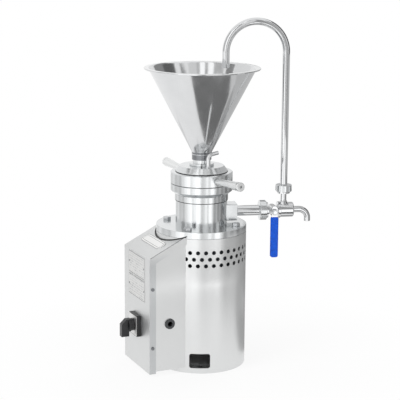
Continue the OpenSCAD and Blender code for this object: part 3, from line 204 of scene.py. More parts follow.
# %% A card
CARD_DISTANCE = 0.6  # metres from the axis


def reflected_card(name, corners, grey):
    """A card that only reflections see, from four corners in metres."""
    bpy.ops.object.select_all(action="DESELECT")
    bpy.ops.mesh.primitive_plane_add(size=1)
    card = bpy.context.object
    card.name = name
    for vertex, corner in zip(card.data.vertices, (corners[0], corners[1], corners[3], corners[2])):
        vertex.co = corner
    cloth = bpy.data.materials.new(name + "_cloth")
    cloth.use_nodes = True
    cloth.node_tree.nodes.clear()
    even = add_node(cloth.node_tree, "ShaderNodeEmission", values={"Color": WHITE, "Strength": grey})
    add_node(cloth.node_tree, "ShaderNodeOutputMaterial", links={"Surface": even.outputs[0]})
    card.data.materials.append(cloth)
    card.visible_camera = card.visible_diffuse = False
    card.visible_shadow = card.visible_transmission = False


def standing_card(name, turn_from, turn_to, grey, low, high, distance=CARD_DISTANCE):
    """An upright card between two turns in degrees and two heights in metres."""
    reflected_card(name, [around_machine(turn, distance, height) for turn, height in (
        (turn_from, low), (turn_to, low), (turn_to, high), (turn_from, high))], grey)


print("cards stand", CARD_DISTANCE, "m from the axis")

# %% [markdown]
# ## Cards round the machine
# A card's height decides which part of the machine shows it. Low strips serve the
# housing and the mill, the cards above them serve the pipe, and the highest ones serve
# the inside of the hopper. Their greys were matched to the streaks one by one.

# %% Upright cards
STRIP_TOP, CARD_TOP, TOP_CARD_TOP = 0.42, 1.3, 1.9  # metres above the floor
LEFT_TURN, LEFT_FOOT = -50, 0.16  # to the left of this turn the strips stop at this height
# Strips that turned steel shows as fine upright streaks: a turn and a grey. Each strip runs on to
# the next row's turn.
STRIPS = (
    (-150, 0.8), (-128, 0.95), (-112, 0.7), (-98, 0.8), (-86, 0.62), (-76, 1.0), (-62, 1.3),
    (-50, 1.55), (-40, 1.05), (-32, 1.3), (-20, 1.6), (-10, 1.45), (-2, 0.82), (8, 0.95), (16, 1.35),
    (24, 0.95), (32, 1.5), (46, 0.9), (53, 0.4), (64, 0.62), (72, 0.34), (84, 0.5), (92, 0.22),
    (106, 0.4), (118, 0.26), (134, 0.16), (150, 0.4), (180, None),
)
for number, ((turn_from, grey), (turn_to, _)) in enumerate(zip(STRIPS, STRIPS[1:])):
    standing_card("side_strip_%d" % number, turn_from, turn_to, grey,
                  LEFT_FOOT if turn_to < LEFT_TURN else 0, STRIP_TOP)
# Above the rings only the pipe and the hopper's inside see the cards, and they show broad streaks.
UPPER_CARDS = (
    (-150, -100, 0.9), (-96, -74, 0.3), (-66, -50, 0.6), (-44, -8, 1.4), (-8, 6, 0.18), (6, 30, 0.9),
    (30, 44, 0.4), (50, 68, 0.3), (84, 118, 0.14), (118, 150, 0.3), (150, 180, 0.95),
)
for number, (turn_from, turn_to, grey) in enumerate(UPPER_CARDS):
    standing_card("upper_card_%d" % number, turn_from, turn_to, grey, STRIP_TOP, CARD_TOP)
# Higher still are the strips that the hopper's back wall shows.
TOP_CARDS = ((-62, -36, 0.5), (-36, -18, 1.3), (-18, -8, 0.55), (-8, 8, 1.35), (8, 18, 0.6), (18, 44, 0.8))
for number, (turn_from, turn_to, grey) in enumerate(TOP_CARDS):
    standing_card("top_card_%d" % number, turn_from, turn_to, grey, CARD_TOP, TOP_CARD_TOP)
print("upright cards:", len(STRIPS) - 1 + len(UPPER_CARDS) + len(TOP_CARDS))

# %% [markdown]
# ## Cards for one surface
# A few cards serve one surface alone. They stand or hang where only that surface sees
# them, which was found by tracing its reflections back from the camera.

# %% Skirt, screens and collar
# A low skirt and a card on the floor shade the housing's right side down to its foot.
SKIRT_DISTANCE, SKIRT_TOP = 0.57, 0.19  # metres
for number, (turn_from, turn_to, grey) in enumerate(((66, 96, 0.72), (96, 128, 0.42), (128, 165, 0.35))):
    standing_card("light_skirt_%d" % number, turn_from, turn_to, grey, 0, SKIRT_TOP, SKIRT_DISTANCE)
FLOOR_CARD_Z, FLOOR_CARD_GREY = 0.004, 0.42
reflected_card("floor_card", [around_machine(turn, radius, FLOOR_CARD_Z) for turn, radius in (
    (92, 0.16), (92, 0.6), (165, 0.6), (165, 0.16))], FLOOR_CARD_GREY)

# Screens near the hopper keep its flanks light, above what the rings and the body reflect. Each
# row has a turn and the screen's foot there, the same at its other side, and its grey.
SCREEN_R, SCREEN_TOP = 0.3, 0.68  # metres
SCREENS = ((-140, 0.40, -95, 0.40, 1.0), (-95, 0.40, -50, 0.40, 1.0), (80, 0.44, 118, 0.36, 0.58),
           (118, 0.36, 160, 0.385, 0.58))
for number, (turn_from, foot_from, turn_to, foot_to, grey) in enumerate(SCREENS):
    reflected_card("hopper_screen_%d" % number, [around_machine(turn, SCREEN_R, height) for turn, height in (
        (turn_from, foot_from), (turn_to, foot_to), (turn_to, SCREEN_TOP), (turn_from, SCREEN_TOP))], grey)

# A dark collar round the front draws the band on the hopper. It falls outwards as steeply as the
# camera looks down, so the upright housing sees it edge on. Each row is a turn and the collar's
# inner and outer radius there in metres.
COLLAR = ((-30, 0.425, 0.45), (-22, 0.295, 0.45), (-9, 0.242, 0.45), (18, 0.205, 0.45), (45, 0.20, 0.48),
          (70, 0.245, 0.56), (92, 0.34, 0.68))
COLLAR_Z, COLLAR_R, COLLAR_GREY = 0.2, 0.1, 0.19  # its height in metres at the housing's wall, its grey
for number, (left, right) in enumerate(zip(COLLAR, COLLAR[1:])):
    rim = ((left[0], left[1]), (left[0], left[2]), (right[0], right[2]), (right[0], right[1]))
    reflected_card("collar_card_%d" % number, [
        around_machine(turn, radius, COLLAR_Z - math.tan(ELEVATION) * (radius - COLLAR_R))
        for turn, radius in rim], COLLAR_GREY)
print("screens:", len(SCREENS), "collar cards:", len(COLLAR) - 1)

# %% [markdown]
# ## Finish recipe
# Nearly everything is stainless steel, and what differs is how the surface was made:
# turned on a lathe, mirror polished, rolled and brushed, or plainly machined. All of
# them share one recipe: a metal with its default IOR, a fine stretched noise for the
# tool marks and a broad noise for handling marks. Only sizes and values differ, so one
# function makes them all.

# %% Finish recipe
BUMP_DEPTH = 0.4 * MM


def hex_colour(code):
    """Turns an sRGB hex value to linear RGBA."""
    parts = [int(code[i:i + 2], 16) / 255 for i in (1, 3, 5)]
    return [p / 12.92 if p <= 0.04045 else ((p + 0.055) / 1.055) ** 2.4 for p in parts] + [1.0]


def finish(name, colour, roughness, metallic=1.0, grain=(2.0, 2.0, 2.0), grain_rough=0.08, grain_bump=0.1,
           cloud=45.0, cloud_rough=0.06, shade=0.06, specular=0.5):
    """A procedural finish: grain is its marks' size along X, Y and Z in mm, cloud its mottling's."""
    made = bpy.data.materials.new(name)
    made.use_nodes = True
    tree = made.node_tree
    tree.nodes.clear()
    spot = add_node(tree, "ShaderNodeTexCoord").outputs["Object"]
    stretched = add_node(tree, "ShaderNodeMapping", values={"Scale": [1 / (size * MM) for size in grain]},
                         links={"Vector": spot})
    marks = add_node(tree, "ShaderNodeTexNoise", values={"Scale": 1.0, "Detail": 3.0, "Roughness": 0.6},
                     links={"Vector": stretched.outputs[0]})
    mottle = add_node(tree, "ShaderNodeTexNoise", values={"Scale": 1 / (cloud * MM), "Detail": 2.0},
                      links={"Vector": spot})
    fine = add_node(tree, "ShaderNodeMapRange",
                    values={"To Min": roughness - grain_rough, "To Max": roughness + grain_rough},
                    links={"Value": marks.outputs["Fac"]})
    wide = add_node(tree, "ShaderNodeMapRange", values={"To Min": -cloud_rough, "To Max": cloud_rough},
                    links={"Value": mottle.outputs["Fac"]})
    rough = add_node(tree, "ShaderNodeMath", operation="ADD", use_clamp=True,
                     links={0: fine.outputs[0], 1: wide.outputs[0]})
    base = hex_colour(colour)[:3]
    darker, lighter = [c * (1 - shade) for c in base] + [1], [min(1, c * (1 + shade)) for c in base] + [1]
    tone = add_node(tree, "ShaderNodeMix", data_type="RGBA", values={6: darker, 7: lighter},
                    links={0: mottle.outputs["Fac"]})
    relief = add_node(tree, "ShaderNodeBump", values={"Strength": grain_bump, "Distance": BUMP_DEPTH},
                      links={"Height": marks.outputs["Fac"]})
    skin = add_node(tree, "ShaderNodeBsdfPrincipled",
                    values={"Metallic": metallic, "Specular IOR Level": specular},
                    links={"Base Color": tone.outputs[2], "Roughness": rough.outputs[0],
                           "Normal": relief.outputs[0]})
    add_node(tree, "ShaderNodeOutputMaterial", links={"Surface": skin.outputs[0]})
    return made


print("recipe ready, bump", BUMP_DEPTH, "m deep")

# %% [markdown]
# ## Steel finishes
# Real tool marks are a few hundredths of a millimetre wide and would vanish at this
# image size. They are drawn about 1.5 mm wide instead, long in the direction that the
# tool or the brush ran.

# %% Steel finishes
# Lathe marks run round the axis, so they are short along Z and blur the shine upwards.
turned_stainless = finish("turned_stainless", "#DADCDD", 0.17, grain=(60, 60, 1.5), grain_rough=0.07)
# Mirror polish leaves only faint wipe marks.
mirror_stainless = finish("mirror_polished_stainless", "#DCDDDE", 0.12, grain=(9, 9, 60), grain_rough=0.04,
                          grain_bump=0.02, cloud=30, cloud_rough=0.05, shade=0.05)
# The weld at the hopper's foot leaves a dull zone that the polishing wheel can't reach; its darker colour is
# a painted reflection of the dark surroundings that the neck mirrors.
neck_painted_reflection = finish("neck_stainless_painted_reflection", "#85878A", 0.3, grain=(20, 20, 2), grain_rough=0.08, cloud=9,
                     cloud_rough=0.1, shade=0.25)
# The shroud's sheet is rolled and brushed along its height: a wide, soft shine.
brushed_shroud = finish("brushed_shroud_sheet", "#E0E1E1", 0.36, grain=(1.6, 1.6, 80), grain_rough=0.05,
                        grain_bump=0.05, cloud=70, shade=0.05)
# The box is bent from the same sheet with a duller brush.
BOX_COLOUR = "#DBDCDC"
brushed_box = finish("brushed_box_sheet", BOX_COLOUR, 0.42, grain=(1.6, 1.6, 80), grain_rough=0.05,
                     grain_bump=0.04, cloud=60, shade=0.04)
# The lid's flanges are brushed the other way, and their colour is painted darker than the box's as painted
# shade.
flange_painted_shade = finish("lid_flange_painted_shade", "#C6C8C9", 0.46, grain=(1.6, 60, 60), grain_rough=0.05,
                        grain_bump=0.04, cloud=40, shade=0.08)
# Drawn and polished tube is nearly a mirror, with hardly any marks.
drawn_tube = finish("polished_tube", "#DADBDC", 0.09, grain=(25, 25, 25), grain_rough=0.03, grain_bump=0.01)
# Screw and rivet heads are painted dark as painted shade round each small head, and patchy at random.
screw_painted_shade = finish("screw_steel_painted_shade", "#7C7E81", 0.3, grain=(1.5, 1.5, 1.5), cloud=4, shade=0.3)
# The handles are turned and left satin, so they shine pale and soft.
satin_handle = finish("satin_turned_handle", "#E8E9E9", 0.36, grain=(50, 50, 1.5), grain_rough=0.06, cloud=25)
# Plainly machined steel has an even, slightly grey shine.
machined_steel = finish("machined_steel", "#C4C6C8", 0.28, grain=(2, 2, 2), grain_rough=0.08)
print("steels:", len(bpy.data.materials))

# %% [markdown]
# ## Paler flange top
# Towards the bend at its top, the lid's flange turns to the light, so a painted highlight lifts its painted
# shade there and makes it as pale as the box. A second material would show a hard border, so the base colour
# is mixed with the box's colour by height.

# %% Pale the flange's top
PALE_FROM, PALE_TO = 0.25, 0.275  # metres above the floor


def shader_of(look):
    """The one Principled shader of a finish."""
    return next(n for n in look.node_tree.nodes if n.type == "BSDF_PRINCIPLED")


flange_tree, flange_skin = flange_painted_shade.node_tree, shader_of(flange_painted_shade)
flange_spot = add_node(flange_tree, "ShaderNodeTexCoord")
flange_axes = add_node(flange_tree, "ShaderNodeSeparateXYZ", links={0: flange_spot.outputs["Object"]})
# The painted highlight: by height, the flange's colour turns to the box's.
pale_share = add_node(flange_tree, "ShaderNodeMapRange", values={"From Min": PALE_FROM, "From Max": PALE_TO},
                      links={"Value": flange_axes.outputs["Z"]})
paler = add_node(flange_tree, "ShaderNodeMix", data_type="RGBA", values={7: hex_colour(BOX_COLOUR)},
                 links={0: pale_share.outputs[0], 6: flange_skin.inputs["Base Color"].links[0].from_socket})
flange_tree.links.new(paler.outputs[2], flange_skin.inputs["Base Color"])
print(flange_painted_shade.name, "pales from", PALE_FROM, "to", PALE_TO, "m")

# %% [markdown]
# ## Plate finishes
# The plates are satin sheet with faint etched rows, and the badge is brighter. The
# rows could be modelled, but they have no depth to speak of: a brick pattern on the
# plate's own plane draws them, and a margin at both sides stays plain.

# %% Plate finishes
PLATE_COLOUR = "#E2E2E1"
ROW_H, ROW_GAP, MARK_W = 5.5 * MM, 1.1 * MM, 13 * MM
MARKED_HALF = 41 * MM  # half of the width that carries rows
# Satin sheet has a soft shine with marks along its width.
plate_metal = finish("satin_plate", PLATE_COLOUR, 0.38, grain=(1.5, 30, 1.5), grain_rough=0.05, shade=0.04)
# Etching dulls the sheet and leaves rows of pale grey marks.
etched_plate = finish("etched_plate", "#DDDDDC", 0.4, grain=(1.5, 30, 1.5), grain_rough=0.05, shade=0.04)
plate_tree = etched_plate.node_tree
plate_spot = add_node(plate_tree, "ShaderNodeTexCoord").outputs["Object"]
upright = add_node(plate_tree, "ShaderNodeMapping", values={"Rotation": (0, -math.pi / 2, math.pi / 2)},
                   links={"Vector": plate_spot})
rows = add_node(plate_tree, "ShaderNodeTexBrick", offset=0.35, squash=0.7, squash_frequency=3,
                values={"Color1": hex_colour("#C2C3C3"), "Color2": hex_colour("#DADAD9"),
                        "Mortar": hex_colour(PLATE_COLOUR), "Scale": 1.0, "Mortar Size": ROW_GAP,
                        "Brick Width": MARK_W, "Row Height": ROW_H},
                links={"Vector": upright.outputs[0]})
plate_axes = add_node(plate_tree, "ShaderNodeSeparateXYZ", links={0: plate_spot})
aside = add_node(plate_tree, "ShaderNodeMath", operation="ABSOLUTE", links={0: plate_axes.outputs["Y"]})
margin = add_node(plate_tree, "ShaderNodeMath", operation="GREATER_THAN", values={1: MARKED_HALF},
                  links={0: aside.outputs[0]})
marked = add_node(plate_tree, "ShaderNodeMix", data_type="RGBA", values={7: hex_colour(PLATE_COLOUR)},
                  links={0: margin.outputs[0], 6: rows.outputs["Color"]})
plate_tree.links.new(marked.outputs[2], shader_of(etched_plate).inputs["Base Color"])
# The badge is polished a little brighter than the plates.
badge_metal = finish("bright_badge", "#F0F0EF", 0.34, grain=(1.5, 30, 1.5), grain_rough=0.05, shade=0.03)
# Pressed lines are matt grey on their walls: partly grey ink, partly painted shade in the grooves.
line_ink_and_groove_shade = finish("grey_line_ink_and_groove_shade", "#6A6C6F", 0.6, metallic=0.0, grain=(1, 1, 1))
print("plate rows every", round(ROW_H / MM, 1), "mm")

# %% [markdown]
# ## Rubber and plastic
# The switch, the rubber pieces and the lever's sleeve are not metal. They use the
# same recipe with no metal in it, and their texture is a mould's or a dip's.

# %% Rubber and plastic finishes
# Moulded switch parts have a fine spark-eroded texture, drawn at 0.8 mm so that it shows.
black_moulding = finish("black_moulding", "#17181A", 0.24, metallic=0.0, grain=(0.8, 0.8, 0.8),
                        grain_bump=0.2, shade=0.15)
# Cut rubber is matt and nearly black. The same finish colours the dark rings, cord and bead that are painted
# shadows in gaps.
black_rubber = finish("black_rubber", "#161617", 0.48, metallic=0.0, grain=(1, 1, 1), grain_bump=0.25,
                      shade=0.15)
# The grommet's rubber is painted greyer than cut rubber as a painted sheen on its rim, and its lower
# roughness gives it a soft shine as well.
grommet_rubber_painted_sheen = finish("grommet_rubber_with_painted_sheen", "#3C3E41", 0.3, metallic=0.0, grain=(1, 1, 1),
                        grain_bump=0.2, shade=0.2)
# The lever's sleeve is dipped vinyl: a deep blue with cloudy patches and a slight orange peel.
blue_vinyl = finish("blue_dipped_vinyl", "#1156D0", 0.36, metallic=0.0, grain=(3, 3, 5), grain_bump=0.12,
                    cloud=10, shade=0.34, specular=0.2)
print("finishes so far:", len(bpy.data.materials))

# %% [markdown]
# ## Finishes inside the housing
# The motor, the bearings and the seal are hidden, but they show when the model is
# taken apart, so each gets the finish of its real material.

# %% Inner finishes
# Bearing steel is ground: bright, with hair-fine marks round the race.
ground_steel = finish("ground_bearing_steel", "#CBCCCE", 0.15, grain=(30, 30, 1))
# The motor's frame is cast iron under grey paint, so the casting's skin shows through.
painted_iron = finish("painted_cast_iron", "#4A5056", 0.55, metallic=0.0, grain=(1.5, 1.5, 1.5),
                      grain_bump=0.4)
# The cores are stacks of 0.7 mm sheet, seen as fine level lines.
core_sheet = finish("stacked_core_sheet", "#5A5B5E", 0.5, grain=(40, 40, 0.7), grain_bump=0.3)
# Windings are enamelled copper wire, 1.2 mm thick, lying along the slots.
copper = finish("enamelled_copper", "#B4602C", 0.3, grain=(1.2, 1.2, 30), grain_bump=0.5)
# Carbon seal faces are dull and nearly black.
carbon = finish("carbon_seal_face", "#2B2B2D", 0.45, metallic=0.0)
# Gaskets and terminals are a milky white polymer.
white_polymer = finish("white_polymer", "#ECECE8", 0.45, metallic=0.0, grain=(1, 1, 1), shade=0.03)
print("finishes:", len(bpy.data.materials))

# %% [markdown]
# ## Standing for a solid
# A finished piece takes the place of a solid: it rides on the same body and hides the solid. The body is
# looked up in the record, so that it is written in one place only.

# %% Stand for a solid
BODY_OF = {node: body for body, nodes in frame["record"]["behaviour"]["bodies"].items() for node in nodes}


def stand_for(piece, node):
    """Gives a finished piece its body and the solid it stands for."""
    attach(piece, BODY_OF[node])
    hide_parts(node)
    return piece


def dress(piece, node, look):
    """Gives a piece one finish and lets it stand for a solid."""
    piece.data.materials.clear()
    piece.data.materials.append(look)
    return stand_for(piece, node)


print("bodies:", sorted(set(BODY_OF.values())))

# %% [markdown]
# ## Soft edges
# A real edge is never knife sharp: it catches a thin line of light. Each visible solid
# could be modelled again, but its shape is already right. So it is copied, its loose
# triangles are merged to faces, and a small bevel rounds every edge that turns by more
# than the limit angle.

# %% Copy a solid and round its edges
MERGE = 1e-6  # metres
FLAT_ANGLE = math.radians(0.6)
SMOOTH_EXTRA = 8  # degrees past the bevel's limit that still shade as one surface


def copied(node):
    """A new piece with the solid's faces: merged, and with flat areas joined to single faces."""
    bpy.ops.object.select_all(action="DESELECT")
    piece = bpy.data.objects.new("dressed_" + node, frame["nodes"][node].data.copy())
    scene.collection.objects.link(piece)
    piece.select_set(True)
    bpy.context.view_layer.objects.active = piece
    bpy.ops.object.mode_set(mode="EDIT")
    bpy.ops.mesh.select_all(action="SELECT")
    bpy.ops.mesh.remove_doubles(threshold=MERGE)
    bpy.ops.mesh.dissolve_limited(angle_limit=FLAT_ANGLE)
    bpy.ops.object.mode_set(mode="OBJECT")
    return piece


def round_edges(piece, width, segments=2, limit=32):
    """Bevels the sharp edges by a width in mm and keeps the flat faces flat under the light."""
    edge = piece.modifiers.new("edge", "BEVEL")
    edge.width = width * MM
    edge.segments = segments
    edge.limit_method = "ANGLE"
    edge.angle_limit = math.radians(limit)
    edge.use_clamp_overlap = True
    bpy.ops.object.modifier_apply(modifier="edge")
    bpy.ops.object.shade_smooth_by_angle(angle=math.radians(limit + SMOOTH_EXTRA))
    weight = piece.modifiers.new("weight", "WEIGHTED_NORMAL")
    weight.keep_sharp = True
    bpy.ops.object.modifier_apply(modifier="weight")
    return piece


print("points closer than", MERGE, "m are merged")

# %% [markdown]
# ## Softened solids
# Cut sheet keeps a tight edge, a turned ring gets a small chamfer from the file, and
# moulded or dipped pieces are the roundest. Each row of the table gives a solid, its
# finish and the width of its softened edges in mm.

# %% Soften the visible solids
SOFT_EDGES = (
    ("motor_shroud", brushed_shroud, 0.4), ("base_ring", machined_steel, 0.6),
    ("top_flange", turned_stainless, 0.7), ("flange_bolts", machined_steel, 0.7),
    ("mill_body", turned_stainless, 0.7), ("lock_ring", turned_stainless, 0.8),
    ("adjusting_ring", turned_stainless, 0.6), ("ring_handles", satin_handle, 0.8),
    ("cover", turned_stainless, 0.6), ("hopper_collar", turned_stainless, 0.4),
    ("cooling_nipples", drawn_tube, 0.4), ("outlet_pipe", drawn_tube, 0.4),
    ("outlet_union_nut", turned_stainless, 0.6), ("valve_body", drawn_tube, 0.6),
    ("gland_nut", machined_steel, 0.5), ("lever_strip", drawn_tube, 0.6),
    ("lever_grip", blue_vinyl, 1.2), ("lever_nut", machined_steel, 0.5),
    ("spout", drawn_tube, 0.3), ("return_union_nut", turned_stainless, 0.6),
    ("return_pipe", drawn_tube, 0.3), ("box_lid", brushed_box, 0.7),
    # The lid screws and plate rivets take the dark finish with painted shade.
    ("box_body", brushed_box, 0.5), ("lid_screws", screw_painted_shade, 0.3),
    ("plate_rivets", screw_painted_shade, 0.2), ("switch_bezel", black_moulding, 1.2),
    ("switch_face", plate_metal, 0.3), ("switch_knob", black_moulding, 2.0),
    # The grommet takes the rubber with painted sheen.
    ("cable_grommet", grommet_rubber_painted_sheen, 0.4),
)
for node, look, width in SOFT_EDGES:
    piece = dress(round_edges(copied(node), width), node, look)
    print(piece.name, len(piece.data.polygons), "faces")

# The steel in the photograph shows no blue streaks, so the grip isn't seen in reflections.
bpy.data.objects["dressed_lever_grip"].visible_glossy = False

# %% [markdown]
# ## Pressed sheet
# The plates and the badge are thin blanked sheet with a pressed border line. Each
# starts as a plane: its corners are bevelled round, it is extruded to the sheet's
# thickness, and its face is inset in steps. The steps with a depth press the line. A
# texture could draw the line, but only a pressed one catches the light.

# %% Press and lay a plate
CORNER_STEPS = 8
PLATE_EDGE = 0.12  # mm
LINE_NORMAL, FLAT_NORMAL = 0.3, 0.95  # a face between these slopes is the wall of a pressed line


def pressed(name, width, height, corner, thick, steps, looks):
    """A plate on the XY plane, in mm. Steps are (inset, depth); looks are sheet, lines and middle."""
    bpy.ops.object.select_all(action="DESELECT")
    bpy.ops.mesh.primitive_plane_add(size=1)
    piece = bpy.context.object
    piece.name = name
    bpy.ops.object.mode_set(mode="EDIT")
    bpy.ops.mesh.select_mode(type="VERT")
    bpy.ops.mesh.select_all(action="SELECT")
    bpy.ops.transform.resize(value=(width * MM, height * MM, 1))
    bpy.ops.mesh.bevel(offset=corner * MM, segments=CORNER_STEPS, affect="VERTICES")
    bpy.ops.mesh.select_all(action="SELECT")
    bpy.ops.mesh.extrude_region_move(TRANSFORM_OT_translate={"value": (0, 0, thick * MM)})
    bpy.ops.mesh.select_mode(type="FACE")
    for inset, depth in steps:
        bpy.ops.mesh.inset(thickness=inset * MM, depth=depth * MM)
    bpy.ops.mesh.select_all(action="SELECT")
    bpy.ops.mesh.normals_make_consistent(inside=False)
    bpy.ops.mesh.select_mode(type="VERT")
    bpy.ops.object.mode_set(mode="OBJECT")
    for look in looks:
        piece.data.materials.append(look)
    # The walls of the pressed lines take the grey finish: ink and painted shade in the groove.
    for face in piece.data.polygons:
        if LINE_NORMAL < face.normal.z < FLAT_NORMAL:
            face.material_index = 1
    flat_faces = [face for face in piece.data.polygons if face.normal.z > FLAT_NORMAL]
    max(flat_faces, key=lambda face: face.area).material_index = 2
    return round_edges(piece, PLATE_EDGE, segments=1)


def facing(piece, outward, offset):
    """Lays a plate's face along outward, its width level, and bakes that in its mesh."""
    along_width = Vector((0, -1, 0))
    turned_to = Matrix((along_width, outward.cross(along_width), outward)).transposed().to_4x4()
    turned_to.translation = [v * MM for v in offset]
    piece.matrix_world = turned_to
    bpy.ops.object.transform_apply(location=True, rotation=True, scale=True)
    return piece


print("plates have", CORNER_STEPS, "steps to a corner")

# %% [markdown]
# ## Plates
# Two plates of one width are riveted to the front of the box, one over the other. They
# share one solid in the frame, so the two are pressed apart and joined to one piece.

# %% Plates on the box's front
BOX_FRONT, FRONT_TOP = -154.0, 265.5  # mm: the front's X and the height where the slope starts
FORWARD = Vector((-1, 0, 0))
PLATE_W, PLATE_CORNER, PLATE_THICK = 94, 3, 0.8  # mm
PLATE_STEPS = ((1.0, 0), (0.6, -0.4), (0.6, 0.4))
PLATE_LOOKS = (plate_metal, line_ink_and_groove_shade, etched_plate)


def front_plate(name, height, drop):
    """A plate of that height whose middle lies that far below the front's top, in mm."""
    plate = pressed(name, PLATE_W, height, PLATE_CORNER, PLATE_THICK, PLATE_STEPS, PLATE_LOOKS)
    return facing(plate, FORWARD, (BOX_FRONT, 0, FRONT_TOP - drop))


upper = front_plate("upper_plate", 50, 28.5)
lower = front_plate("lower_plate", 48, 79)
for plate in (upper, lower):
    plate.select_set(True)
bpy.context.view_layer.objects.active = upper
bpy.ops.object.join()
stand_for(upper, "data_plates")
print(upper.name, len(upper.data.polygons), "faces")

# %% [markdown]
# ## Badge
# The long badge lies on the slope of the lid and follows its tilt. Its corner radius is
# nearly half its height, which makes its ends round, and it has two pressed lines.

# %% Badge on the slope
SLOPE = math.radians(26.5)
UPHILL = Vector((-math.sin(SLOPE), 0, math.cos(SLOPE)))
BADGE_X, BADGE_W, BADGE_H, BADGE_CORNER, BADGE_THICK = -114.5, 104, 26, 11.5, 1.0  # mm
BADGE_STEPS = ((0.6, 0), (0.5, -0.4), (0.5, 0.4), (3.6, 0), (0.4, -0.35), (0.4, 0.35), (0.6, 0))


def slope_z(x):
    """Height of the box's slope at an X, both in mm."""
    return FRONT_TOP + (x - BOX_FRONT) * math.tan(SLOPE)


badge = facing(pressed("oval_badge", BADGE_W, BADGE_H, BADGE_CORNER, BADGE_THICK, BADGE_STEPS,
                       (badge_metal, line_ink_and_groove_shade, badge_metal)), UPHILL, (BADGE_X, 0, slope_z(BADGE_X)))
stand_for(badge, "name_badge")
print(badge.name, len(badge.data.polygons), "faces")

# %% [markdown]
# ## Slope seam
# At one side the lid's slope is let in behind its side flange, and the seam lies in shade. A thin dark bead
# along it is a painted shadow line. The bead is a very narrow plate, so the same helper presses it.

# %% Lay the slope seam
BEAD_X, BEAD_Y, BEAD_W, BEAD_L, BEAD_CORNER, BEAD_THICK = -113.0, -71.8, 1.2, 86, 0.4, 0.3  # mm
BEAD_STEPS = ((0.15, 0),)
# The dark bead is a painted shadow line in the seam.
slope_seam_shadow = facing(pressed("lid_slope_seam_shadow", BEAD_W, BEAD_L, BEAD_CORNER, BEAD_THICK, BEAD_STEPS,
                            (black_rubber, black_rubber, black_rubber)), UPHILL,
                    (BEAD_X, BEAD_Y, slope_z(BEAD_X)))
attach(slope_seam_shadow, BODY_OF["box_lid"])
print(slope_seam_shadow.name, len(slope_seam_shadow.data.polygons), "faces")

# %% [markdown]
# ## Lid flanges
# The lid is one bent sheet: its side flanges were brushed before bending, along the other way. Their colour
# is painted darker than the box behind them, as painted shade. They stay part of the same piece and get a
# second finish on the faces that look sideways.

# %% Darker flanges
SIDEWAYS = 0.9  # how far a face's normal points along Y
lid = bpy.data.objects["dressed_box_lid"]
# The sideways faces take the flange finish with its painted shade.
lid.data.materials.append(flange_painted_shade)
for face in lid.data.polygons:
    if abs(face.normal.y) > SIDEWAYS:
        face.material_index = 1
print("flange faces:", sum(face.material_index for face in lid.data.polygons))

# %% [markdown]
# ## Spinning
# Round pieces are made as on a lathe: a single point is drawn out to an outline, edge by
# edge, and the outline is spun about the axis. A primitive cone or torus would be
# quicker but has no bends, lips or steps of its own.

# %% Spin an outline
SMOOTH_SPUN = math.radians(25)


def turned(name, outline, steps):
    """Spins an outline of (radius, height) points in mm about the Z axis."""
    bpy.ops.object.select_all(action="DESELECT")
    bpy.ops.mesh.primitive_plane_add(size=MM)
    piece = bpy.context.object
    piece.name = name
    bpy.ops.object.mode_set(mode="EDIT")
    bpy.ops.mesh.select_mode(type="VERT")
    bpy.ops.mesh.select_all(action="SELECT")
    bpy.ops.mesh.merge(type="CENTER")
    bpy.ops.transform.translate(value=(outline[0][0] * MM, 0, outline[0][1] * MM))
    for (r0, z0), (r1, z1) in zip(outline, outline[1:]):
        step = ((r1 - r0) * MM, 0, (z1 - z0) * MM)
        bpy.ops.mesh.extrude_region_move(TRANSFORM_OT_translate={"value": step})
    bpy.ops.mesh.select_all(action="SELECT")
    bpy.ops.mesh.spin(steps=steps, angle=math.tau, center=(0, 0, 0), axis=(0, 0, 1))
    bpy.ops.mesh.select_all(action="SELECT")
    bpy.ops.mesh.remove_doubles(threshold=MERGE)
    bpy.ops.mesh.normals_make_consistent(inside=False)
    bpy.ops.object.mode_set(mode="OBJECT")
    bpy.ops.object.shade_smooth_by_angle(angle=SMOOTH_SPUN)
    return piece


print("spun pieces shade smooth up to", round(math.degrees(SMOOTH_SPUN)), "degrees")

# %% [markdown]
# ## Hopper
# The hopper is a rolled cone, welded along one seam, with its rim turned over to a
# bead. It is mirror polished, so facets would show at once: it is spun from its own
# outline in fine steps instead of being copied. The outline runs up the inside, over
# the bead and down the outside.

# %% Spin the hopper
HOPPER_STEPS = 192
HUB_Z, CONE_Z, RIM_Z = 461.4, 476.4, 663.4  # mm: the neck's foot, the cone's foot and the rim
NECK_R, RIM_R, LIP_R, BEAD_R, WALL = 21.5, 118.85, 127.35, 1.6, 1.69  # mm
BORE_R, SPIGOT_R, SPIGOT_L, HUB_T = 12.5, 15, 10, 3  # mm: the spigot under the neck and its flange
DARK_NECK_TOP = 3  # mm of the cone painted darker as a painted reflection
rim_bead = [(LIP_R - BEAD_R + BEAD_R * math.sin(math.radians(a)),
             RIM_Z - BEAD_R + BEAD_R * math.cos(math.radians(a))) for a in range(0, 181, 20)]


def along(start, end, share):
    """The point at that share of the way from start to end."""
    return tuple(a + (b - a) * share for a, b in zip(start, end))


